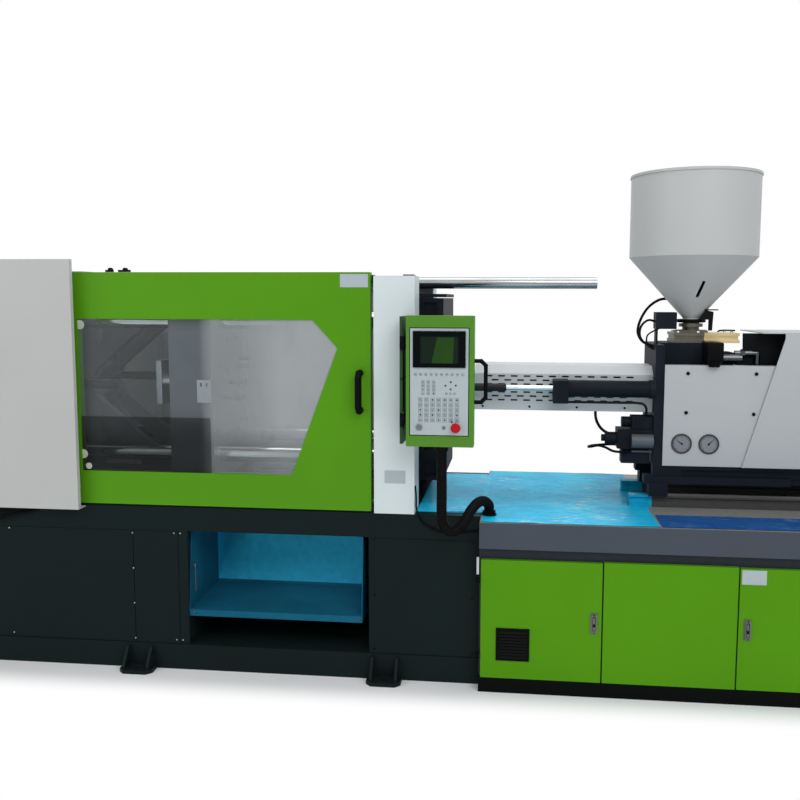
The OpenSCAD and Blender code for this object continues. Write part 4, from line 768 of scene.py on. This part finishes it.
# Places taken from the frame
BOX = {name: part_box(name) for name in NODES}
DOOR_FACE = BOX["front_door"][0].y
BASE_FACE = BOX["base_panels"][0].y
PANEL_FACE = BOX["panel_face"][0].y
CABINET_FACE = BOX["fixed_panels"][0].y
COVER_FACE = BOX["front_cover"][0].y
DECK_TOP = BOX["injection_rails"][0].z
PROUD = 0.0004
FRONT = (0, -1, 0)
BACK = (0, 1, 0)
UP = (0, 0, 1)


# Printed symbols of the control panel: plain keys, no lettering

def add_flat(bm, x0, x1, z0, z1, y):
    add_box(bm, (x0, y, z0), (x1, y + PROUD, z1))


def add_frame(bm, x0, x1, z0, z1, y, w):
    add_flat(bm, x0, x1, z0, z0 + w, y)
    add_flat(bm, x0, x1, z1 - w, z1, y)
    add_flat(bm, x0, x0 + w, z0 + w, z1 - w, y)
    add_flat(bm, x1 - w, x1, z0 + w, z1 - w, y)


def add_disc(bm, x, z, y0, y1, r, segments=24):
    """A round pin along the Y axis."""
    add_rod(bm, (x, y0, z), (x, y1, z), r, segments)


def add_symbol(bm, x, z, y, size):
    """One key: a thin frame round one of five plain marks."""
    h = size / 2
    w = size * 0.09
    add_frame(bm, x - h, x + h, z - h, z + h, y, w * 0.6)
    kind = rng.randrange(5)
    steps = (-h * 0.45, 0, h * 0.45)
    if kind == 0:
        for step in steps:
            add_flat(bm, x - h * 0.6, x + h * 0.6, z + step - w / 2, z + step + w / 2, y)
    elif kind == 1:
        add_flat(bm, x - w, x + w, z - h * 0.6, z + h * 0.6, y)
        add_flat(bm, x - h * 0.6, x + h * 0.6, z - w, z + w, y)
    elif kind == 2:
        add_frame(bm, x - h * 0.5, x + h * 0.5, z - h * 0.5, z + h * 0.3, y, w)
    elif kind == 3:
        add_disc(bm, x, z, y, y + PROUD, h * 0.45, 12)
    else:
        for step in steps:
            add_flat(bm, x + step - w / 2, x + step + w / 2, z - h * 0.6, z + h * 0.5, y)


# Key groups: columns, rows, first key from the face's lower left corner, steps in x and z, key size
KEY_GROUPS = (
    (7, 5, 0.04, 0.059, 0.0238, 0.0198, 0.0158),
    (3, 4, 0.05, 0.163, 0.021, 0.0148, 0.0122),
    (3, 1, 0.141, 0.163, 0.016, 0.0, 0.0085),
    (10, 1, 0.02, 0.237, 0.0205, 0.0, 0.0105),
)
ARROW_KEYS = ((0.138, 0.194), (0.178, 0.195), (0.158, 0.208), (0.158, 0.18))
GROOVE_W = 0.003
GROOVE_GAP = 0.0035


def make_panel_print():
    lo, hi = BOX["panel_face"]
    y = PANEL_FACE - PROUD
    bm = bmesh.new()
    for columns, rows, dx, dz, step_x, step_z, size in KEY_GROUPS:
        for col in range(columns):
            for row in range(rows):
                add_symbol(bm, lo.x + dx + col * step_x, lo.z + dz + row * step_z, y, size)
    for dx, dz in ARROW_KEYS:
        add_disc(bm, lo.x + dx, lo.z + dz, y, y + PROUD, 0.004, 16)
    finish_mesh("panel_symbols", bm, "print", "panel", smooth=False)
    bm = bmesh.new()
    add_frame(bm, lo.x - GROOVE_GAP, hi.x + GROOVE_GAP, lo.z - GROOVE_GAP, hi.z + GROOVE_GAP,
              BOX["panel_housing"][0].y - PROUD, GROOVE_W)
    finish_mesh("panel_groove", bm, "black", "panel", smooth=False)


def make_screen():
    lo, hi = BOX["panel_screen"]
    y = lo.y + 0.0028
    mid = (lo.x + hi.x) / 2
    bm = bmesh.new()
    add_flat(bm, mid - 0.0742, mid + 0.0742, lo.z + 0.0153, lo.z + 0.1207, y)
    finish_mesh("screen_glass", bm, "screen", "panel", smooth=False)
    # A painted reflection: a lighter patch laid on the screen glass
    bm = bmesh.new()
    add_prism(bm, [(mid - 0.03, lo.z + 0.017), (mid + 0.053, lo.z + 0.017),
                   (mid + 0.057, lo.z + 0.117), (mid - 0.008, lo.z + 0.117)], y - 0.0004, y - 0.0001)
    finish_mesh("screen_reflection", bm, "lit", "panel", smooth=False)
    face = BOX["panel_face"][0]
    for name, dx, dz, r, mat in (("service_socket", 0.132, 0.029, 0.0075, "socket"),
                                 ("panel_dot", 0.163, 0.052, 0.003, "dark")):
        bm = bmesh.new()
        add_disc(bm, face.x + dx, face.z + dz, PANEL_FACE - 0.0015, PANEL_FACE, r)
        finish_mesh(name, bm, mat, "panel", smooth=False)


# Gauges: grey face, ticks round three quarters of a turn, a needle and its hub
GAUGE_R = 0.043
DIAL_DEEP = 0.003
TICKS = 30
LONG_TICK_EVERY = 5
FIRST_TICK_DEG = 225
SCALE_DEG = 270
NEEDLES = (0.3, 0.66)


def add_ring(bm, place, profile, segments=48):
    """A ring turned about the Y axis through a place, from (radius, y) points."""
    turns = [2 * math.pi * k / segments for k in range(segments)]
    loops = [[bm.verts.new(place + Vector((r * math.cos(a), y, r * math.sin(a)))) for a in turns]
             for r, y in profile]
    for near, far in zip(loops, loops[1:]):
        join_rings(bm, near, far)


def dial_direction(part):
    """The way from the hub to a part of the scale, from 0 to 1."""
    a = math.radians(FIRST_TICK_DEG - SCALE_DEG * part)
    return Vector((math.cos(a), 0, math.sin(a))) * GAUGE_R


def make_gauges():
    lo, hi = BOX["pressure_gauges"]
    spread = (hi.z - lo.z) / 2
    z = (hi.z + lo.z) / 2
    deep = hi.y - lo.y
    case = [(0.001, deep), (GAUGE_R * 0.8, deep), (GAUGE_R * 0.8, 0.012), (GAUGE_R, 0.012),
            (GAUGE_R, 0.002), (GAUGE_R * 0.96, 0.0), (GAUGE_R * 0.87, 0.0),
            (GAUGE_R * 0.83, DIAL_DEEP), (0.001, DIAL_DEEP)]
    dial_y = lo.y + DIAL_DEEP
    cases = bmesh.new()
    dials = bmesh.new()
    marks = bmesh.new()
    plugs = bmesh.new()
    for x, needle in zip((lo.x + spread, hi.x - spread), NEEDLES):
        add_ring(cases, Vector((x, lo.y, z)), case)
        add_disc(dials, x, z, dial_y - 0.0004, dial_y, GAUGE_R * 0.82, 48)
        centre = Vector((x, dial_y - 0.0006, z))
        for k in range(TICKS + 1):
            long_one = k % LONG_TICK_EVERY == 0
            d = dial_direction(k / TICKS)
            add_rod(marks, centre + d * (0.66 if long_one else 0.7), centre + d * 0.77,
                    0.0011 if long_one else 0.0006, 4)
        d = dial_direction(needle)
        centre = Vector((x, dial_y - 0.0012, z))
        add_rod(marks, centre - d * 0.15, centre + d * 0.62, 0.002, 6, r2=0.0007)
        add_disc(marks, x, z, dial_y - 0.002, dial_y - 0.0004, 0.004, 20)
        back = -COVER_FACE
        add_disc(plugs, x, z, back - 0.003, back + 0.002, 0.035, 40)
        add_rod(plugs, (x, back, z), (x, back + 0.004, z), 0.041, 40, r2=0.039)
    finish_mesh("cover_hole_plugs", plugs, "dark", "carriage")
    gauges = finish_mesh("gauge_cases", cases, "gauge_ring", "carriage")
    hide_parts("pressure_gauges")
    finish_mesh("gauge_dials", dials, "dial", "carriage", smooth=False)
    finish_mesh("gauge_marks", marks, "black", "carriage", smooth=False)


# Screws in sheet panels
END_SCREWS = (0.6, 0.129)
SEAM = BOX["base_panels"][0].x
BASE_SCREWS = ((-1.24, (0.596, 0.441, 0.286, 0.129)), (-1.055, END_SCREWS), (-1.027, END_SCREWS),
               (SEAM + 0.05, END_SCREWS), (SEAM + 0.47, END_SCREWS), (SEAM + 0.89, END_SCREWS))
DARK_BASE_SCREWS = ((-0.19, (0.6, 0.365, 0.129)), (0.22, (0.6, 0.365, 0.129)))
FRONT_COVER_SCREWS = ((1.109, 1.287), (1.388, 1.288), (1.106, 1.12), (1.383, 1.118))
REAR_COVER_SCREW_X = (1.6, 2.08)
REAR_COVER_SCREW_IN = 0.08
BARREL_SCREW_STEP = 0.2055


def add_panel_screws(bm, places, r, h):
    for x, heights in places:
        for z in heights:
            add_screw(bm, (x, BASE_FACE, z), FRONT, r, h)


def add_screw_pair(bm, x, y, z, r, h):
    """The same screw on the front and on the back."""
    add_screw(bm, (x, -y, z), FRONT, r, h)
    add_screw(bm, (x, y, z), BACK, r, h)


def make_sheet_screws():
    bm = bmesh.new()
    add_panel_screws(bm, BASE_SCREWS, 0.003, 0.002)
    finish_mesh("base_screws", bm, "steel", "root")
    bm = bmesh.new()
    add_panel_screws(bm, DARK_BASE_SCREWS, 0.0042, 0.003)
    finish_mesh("base_screws_dark", bm, "dark", "root")
    bm = bmesh.new()
    for x, z in FRONT_COVER_SCREWS:
        add_screw_pair(bm, x, -COVER_FACE, z, 0.0075, 0.005)
    lo, hi = BOX["barrel_cover"]
    for k in range(4):
        add_screw_pair(bm, lo.x + 0.036 + k * BARREL_SCREW_STEP, hi.y, lo.z + 0.016, 0.005, 0.003)
    lo, hi = BOX["rear_cover"]
    for x in REAR_COVER_SCREW_X:
        for z in (lo.z + REAR_COVER_SCREW_IN, hi.z - REAR_COVER_SCREW_IN):
            add_screw_pair(bm, x, hi.y, z, 0.0075, 0.005)
    finish_mesh("cover_screws", bm, "dark", "carriage")


make_panel_print()
make_screen()
make_gauges()
make_sheet_screws()


# Small parts that the photograph shows and the CAD leaves to the looks

def add_hose(bm, diameter, points):
    path = even_path(points, diameter)
    sweep(bm, path, [diameter / 2] * len(path), 10)


def make_leads(name, mat, body, leads):
    """One piece of several leads, each a diameter and the points that it follows."""
    bm = bmesh.new()
    for diameter, points in leads:
        add_hose(bm, diameter, points)
    finish_mesh(name, bm, mat, body)


def make_clamp_details():
    side = BOX["moving_platen"][0].y
    bottom, top = 1.156, 1.253
    bm = bmesh.new()
    add_box(bm, (-0.956, side - 0.0055, bottom), (-0.893, side, top), 0.002)
    finish_mesh("platen_side_box", bm, "white", "moving_platen")
    bm = bmesh.new()
    for x in (-0.937, -0.912):
        add_box(bm, (x - 0.003, side - 0.006, top - 0.028), (x + 0.003, side - 0.005, top - 0.012))
    finish_mesh("platen_side_slots", bm, "dark", "moving_platen", smooth=False)
    rail = BOX["front_door"][1].z
    bm = bmesh.new()
    for x, half in ((-1.312, 0.018), (-1.247, 0.027)):
        add_box(bm, (x - half, DOOR_FACE + 0.014, rail + 0.001),
                (x + half, DOOR_FACE + 0.02, rail + 0.01), 0.001)
        add_disc(bm, x, rail + 0.0105, DOOR_FACE + 0.019, DOOR_FACE + 0.034, 0.009)
    finish_mesh("door_rollers", bm, "dark", "root")
    lo, hi = BOX["front_window"]
    bm = bmesh.new()
    for dx, z, r in ((0.018, hi.z - 0.034, 0.02), (0.014, lo.z + 0.08, 0.019),
                     (0.036, lo.z + 0.028, 0.014)):
        add_disc(bm, lo.x + dx, z, lo.y - PROUD, lo.y, r, 32)
    finish_mesh("window_tabs", bm, "tab", "front_door", smooth=False)


def make_latch_details():
    """Dark inner line and pin of each flush latch."""
    for latch in ("latch_1", "latch_3"):
        lo, hi = BOX[latch]
        centre = (lo + hi) / 2
        bm = bmesh.new()
        add_frame(bm, lo.x + 0.009, hi.x - 0.009, lo.z + 0.014, hi.z - 0.014, lo.y - PROUD, 0.0022)
        add_disc(bm, centre.x, centre.z - 0.006, lo.y - 0.0012, lo.y, 0.0065, 20)
        for z in (lo.z + 0.007, hi.z - 0.007):
            add_disc(bm, centre.x, z, lo.y - 0.0008, lo.y, 0.0028, 12)
        finish_mesh(latch + "_lines", bm, "dark", latch, smooth=False)


# Bare plates where the photograph has printed stickers: name, body, face, x and z from and to
PLATES = (
    ("door_plate", "front_door", DOOR_FACE, -0.327, -0.212, 1.643, 1.696),
    ("cover_plate", "root", DOOR_FACE, -0.146, -0.059, 0.84, 0.894),
    ("cabinet_plate", "cabinet_door_3", CABINET_FACE, 1.277, 1.37, 0.491, 0.5486),
)


def make_plates():
    for name, body, y, x0, x1, z0, z1 in PLATES:
        bm = bmesh.new()
        add_box(bm, (x0, y - 0.0006, z0), (x1, y - 0.0001, z1))
        finish_mesh(name, bm, "plate", body, smooth=False)


def make_root_details():
    lo, hi = BOX["discharge_tray"]
    pin_x, pin_y = -0.972, lo.y + 0.012
    bm = bmesh.new()
    for x in (lo.x + 0.021, hi.x - 0.012):
        add_screw(bm, (x, lo.y, 0.253), FRONT, 0.006, 0.004)
    add_rod(bm, (pin_x, pin_y, 0.345), (pin_x, pin_y, 0.463), 0.0025, 10)
    add_rod(bm, (pin_x, pin_y, 0.452), (pin_x, pin_y, 0.466), 0.006, 16)
    finish_mesh("tray_pin", bm, "dark_chrome", "root")
    hinge_x, hinge_y = 0.248, CABINET_FACE - 0.004
    bm = bmesh.new()
    for z0, z1 in ((0.457, 0.479), (0.144, 0.168)):
        add_rod(bm, (hinge_x, hinge_y, z0), (hinge_x, hinge_y, z1), 0.0055, 16)
        add_box(bm, (0.236, CABINET_FACE - 0.002, z0), (0.25, CABINET_FACE + 0.004, z1), 0.001)
    finish_mesh("door_hinges", bm, "black", "root")
    bm = bmesh.new()
    add_box(bm, (0.2405, CABINET_FACE, 0.492), (0.2502, CABINET_FACE + 0.006, 0.564), 0.001)
    finish_mesh("edge_bracket", bm, "steel", "root")
    make_leads("foot_cables", "rubber", "root", (
        (0.007, [(-0.02, -0.43, 0.83), (-0.014, -0.45, 0.79), (-0.012, -0.454, 0.74), (0.0, -0.452, 0.7),
                 (0.024, -0.451, 0.672), (0.085, -0.4505, 0.645), (0.16, -0.4505, 0.644),
                 (0.246, -0.4505, 0.652)]),
        (0.013, [(-1.9, -0.452, 0.66), (-1.84, -0.462, 0.646), (-1.79, -0.47, 0.66),
                 (-1.74, -0.468, 0.674), (-1.7, -0.46, 0.678), (-1.66, -0.452, 0.69)]),
        (0.011, [(-1.9, -0.455, 0.68), (-1.84, -0.466, 0.672), (-1.78, -0.476, 0.68),
                 (-1.72, -0.466, 0.69), (-1.68, -0.455, 0.7)]),
    ))


# The loose film on the deck, over the edge of the clamp bed's strip
FILM_LEFT = 0.082
CUT_FRONT = 0.962
CUT_BACK = 0.93
CUT_GAP = 0.006
EDGE_IN_X = 0.004
EDGE_IN_Y = 0.002
DEEP_BACK = -0.32
STEP_LEFT = 0.244
STEP_RIGHT = 0.264
STRIP_RIGHT = 0.256
STRIP_TOP = 0.7153
STRIP_HALF = 0.39
RAIL_LEFT = BOX["injection_rails"][0].x - 0.004
RAIL_Y = 0.15
RAIL_HALF = 0.027
FLANGE_AT = Vector((0.284, -0.4))
FLANGE_R = 0.028


def film_height(x, y):
    """Height of the film: on the strip, over its edge, then on the deck, in low wrinkles along it."""
    long_wave = noise_3d.noise(Vector((x * 9, y * 26, 3)))
    short_wave = noise_3d.noise(Vector((x * 31, y * 90, 8)))
    wrinkle = 0.0022 + 0.0012 * long_wave + 0.0006 * short_wave
    down = min(1.0, max(0.0, (x - STEP_LEFT) / (STEP_RIGHT - STEP_LEFT)))
    return STRIP_TOP + (DECK_TOP - STRIP_TOP) * down + wrinkle * (0.4 + 0.6 * down)


def is_cut_out(place):
    """Where the film leaves room for a rail, for the hose's flange and beside the strip."""
    on_rail = place.x > RAIL_LEFT and abs(abs(place.y) - RAIL_Y) < RAIL_HALF
    on_flange = (place.xy - FLANGE_AT).length < FLANGE_R
    beside_strip = place.x < STRIP_RIGHT and abs(place.y) > STRIP_HALF
    return on_rail or on_flange or beside_strip


def make_film(name, mat, x_of, y0, y1, nx, ny):
    """A film of nx by ny faces, whose x_of turns (u, v) from 0 to 1 into x."""
    bm = bmesh.new()
    rows = []
    for j in range(ny + 1):
        v = j / ny
        y = y0 + (y1 - y0) * v
        xs = [x_of(i / nx, v) for i in range(nx + 1)]
        rows.append([bm.verts.new((x, y, film_height(x, y))) for x in xs])
    for near, far in zip(rows, rows[1:]):
        for i in range(nx):
            if not is_cut_out(near[i].co):
                bm.faces.new((near[i], near[i + 1], far[i + 1], far[i]))
    finish_mesh(name, bm, mat, "root")


def make_deck_film():
    """Cyan up to the cut beside the carriage, deep blue in front of the carriage."""
    lo, hi = BOX["deck_sheet"]
    front = lo.y + EDGE_IN_Y
    deep_left = CUT_FRONT + CUT_GAP
    deep_wide = hi.x - EDGE_IN_X - deep_left
    make_film("deck_film_left", "film",
              lambda u, v: FILM_LEFT + u * (CUT_FRONT + (CUT_BACK - CUT_FRONT) * v - FILM_LEFT),
              front, -front, 170, 110)
    make_film("deck_film_front", "film_blue", lambda u, v: deep_left + u * deep_wide,
              front, DEEP_BACK, 190, 24)


# Clamp bolts that wait on the moving platen: y, z and how far they stand out
MOULD_BOLTS = ((-0.036, 1.322, 0.1), (-0.066, 1.287, 0.12), (-0.179, 1.224, 0.13), (-0.286, 1.169, 0.11),
               (-0.052, 1.044, 0.1))


def make_mould_clamps():
    """Bolts and their clamps, faint through the door's window."""
    bm = bmesh.new()
    for y, z, reach in MOULD_BOLTS:
        add_rod(bm, (MOV_FACE - 0.002, y, z), (MOV_FACE + reach, y, z), 0.009, 16)
        add_box(bm, (MOV_FACE + reach * 0.55, y - 0.02, z - 0.013),
                (MOV_FACE + reach * 0.8, y + 0.02, z + 0.013), 0.003)
    finish_mesh("mould_clamps", bm, "dark", "moving_platen")


def make_hopper_foot():
    """Strap, bracket and lever at the hopper's neck, and the drain and screws of its slide."""
    lo, hi = BOX["slide_base"]
    axis_x = (BOX["hopper"][0].x + BOX["hopper"][1].x) / 2
    top = hi.z
    bm = bmesh.new()
    turns = [a * math.pi / 16 for a in range(33)]
    ring = [Vector((axis_x + 0.056 * math.cos(a), 0.05 * math.sin(a), top + 0.05)) for a in turns]
    sweep(bm, ring, [0.0075] * len(ring), 12)
    finish_mesh("neck_strap", bm, "black", "hopper")
    bm = bmesh.new()
    outline = ((0.02, 0.056), (0.05, 0.098), (0.084, 0.09), (0.08, 0.009), (0.064, 0.009),
               (0.064, 0.056))
    add_prism(bm, [(axis_x + x, top + z) for x, z in outline], -0.058, -0.05)
    add_box(bm, (axis_x + 0.048, -0.058, top + 0.096), (axis_x + 0.104, 0.005, top + 0.101), 0.001)
    finish_mesh("neck_bracket", bm, "dark", "hopper")
    lever = ((0.098, 0.004), (0.104, 0.01), (0.13, 0.012), (0.17, 0.011))
    make_leads("slide_lever", "black", "hopper",
               ((0.007, [(axis_x + x, -0.083, top + z) for x, z in lever]),))
    x, y, z = 1.2135, -0.187, 1.316
    bm = bmesh.new()
    add_box(bm, (x - 0.034, y - 0.022, z + 0.02), (x + 0.034, lo.y + 0.01, lo.z + 0.008), 0.008)
    add_rod(bm, (x, y, z), (x, y, z + 0.024), 0.022, 24, r2=0.032)
    finish_mesh("drain_spout", bm, "black", "carriage")
    bm = bmesh.new()
    for x in (lo.x + 0.02, lo.x + 0.105, hi.x - 0.03):
        for y in (-0.07, 0.07):
            add_screw(bm, (x, y, top), UP, 0.007, 0.007)
    finish_mesh("slide_screws", bm, "steel", "carriage")


def make_drive_details():
    """Guard and oil manifold on the front cover, beside the slide."""
    top = BOX["front_cover"][1].z
    bm = bmesh.new()
    add_box(bm, (1.205, -0.11, top - 0.001), (1.31, -0.01, top + 0.052), 0.004)
    add_prism(bm, [(1.35, top), (1.346, top + 0.134), (1.53, top + 0.134), (1.494, top)], -0.1, -0.094)
    finish_mesh("drive_guard", bm, "dark", "carriage")
    y = -0.115
    bm = bmesh.new()
    add_rod(bm, (1.31, y, top + 0.05), (1.405, y, top + 0.05), 0.011, 20)
    add_rod(bm, (1.405, y, top + 0.055), (1.405, y, top + 0.004), 0.011, 20)
    add_rod(bm, (1.25, y, top + 0.028), (1.34, y, top + 0.028), 0.019, 20)
    add_rod(bm, (1.335, y, top + 0.05), (1.352, y, top + 0.05), 0.017, 6)
    finish_mesh("oil_manifold", bm, "dark_chrome", "carriage")


def make_hoses():
    """Leads at the hopper's foot, and the hoses, cylinder and pipe at the valve block."""
    make_leads("sensor_leads", "rubber", "carriage", (
        (0.012, [(1.084, 0.084, 1.6), (1.03, 0.1, 1.598), (0.975, 0.07, 1.565), (0.935, 0.03, 1.51),
                 (0.918, -0.01, 1.455), (0.935, -0.04, 1.415), (0.975, -0.06, 1.395),
                 (0.995, -0.066, 1.37)]),
        (0.01, [(0.99, -0.06, 1.5), (0.955, -0.06, 1.508), (0.925, -0.06, 1.48), (0.922, -0.065, 1.435),
                (0.95, -0.075, 1.402), (0.99, -0.08, 1.38)]),
        (0.007, [(1.0, -0.08, 1.473), (0.975, -0.088, 1.462), (0.948, -0.09, 1.44), (0.95, -0.1, 1.4),
                 (0.985, -0.105, 1.38)]),
    ))
    make_leads("valve_hoses", "rubber", "carriage", (
        (0.013, [(0.835, -0.12, 1.015), (0.8, -0.118, 1.013), (0.765, -0.11, 1.03), (0.742, -0.1, 1.062),
                 (0.735, -0.09, 1.095), (0.737, -0.08, 1.125)]),
        (0.011, [(0.885, -0.15, 0.944), (0.85, -0.162, 0.942), (0.807, -0.165, 0.946),
                 (0.775, -0.162, 0.961), (0.745, -0.152, 0.967), (0.72, -0.138, 0.96),
                 (0.708, -0.105, 0.952), (0.714, -0.06, 0.948), (0.745, -0.03, 0.948),
                 (0.8, -0.015, 0.95), (0.88, -0.01, 0.95), (0.978, -0.01, 0.95)]),
    ))
    bm = bmesh.new()
    add_rod(bm, (0.883, -0.166, 0.992), (0.974, -0.166, 0.992), 0.03, 32)
    add_rod(bm, (0.883, -0.15, 0.944), (0.974, -0.15, 0.944), 0.0045, 12)
    finish_mesh("valve_cylinder", bm, "link", "carriage")
    make_leads("seat_pipe", "casting", "carriage", (
        (0.011, [(0.585, -0.17, 1.172), (0.592, -0.17, 1.16), (0.61, -0.17, 1.157), (0.7, -0.17, 1.157),
                 (0.82, -0.17, 1.157), (0.905, -0.17, 1.157), (0.932, -0.168, 1.15),
                 (0.944, -0.16, 1.13), (0.946, -0.14, 1.105), (0.946, -0.12, 1.09)]),
    ))


make_clamp_details()
make_latch_details()
make_plates()
make_root_details()
make_deck_film()
make_mould_clamps()
make_hopper_foot()
make_drive_details()
make_hoses()
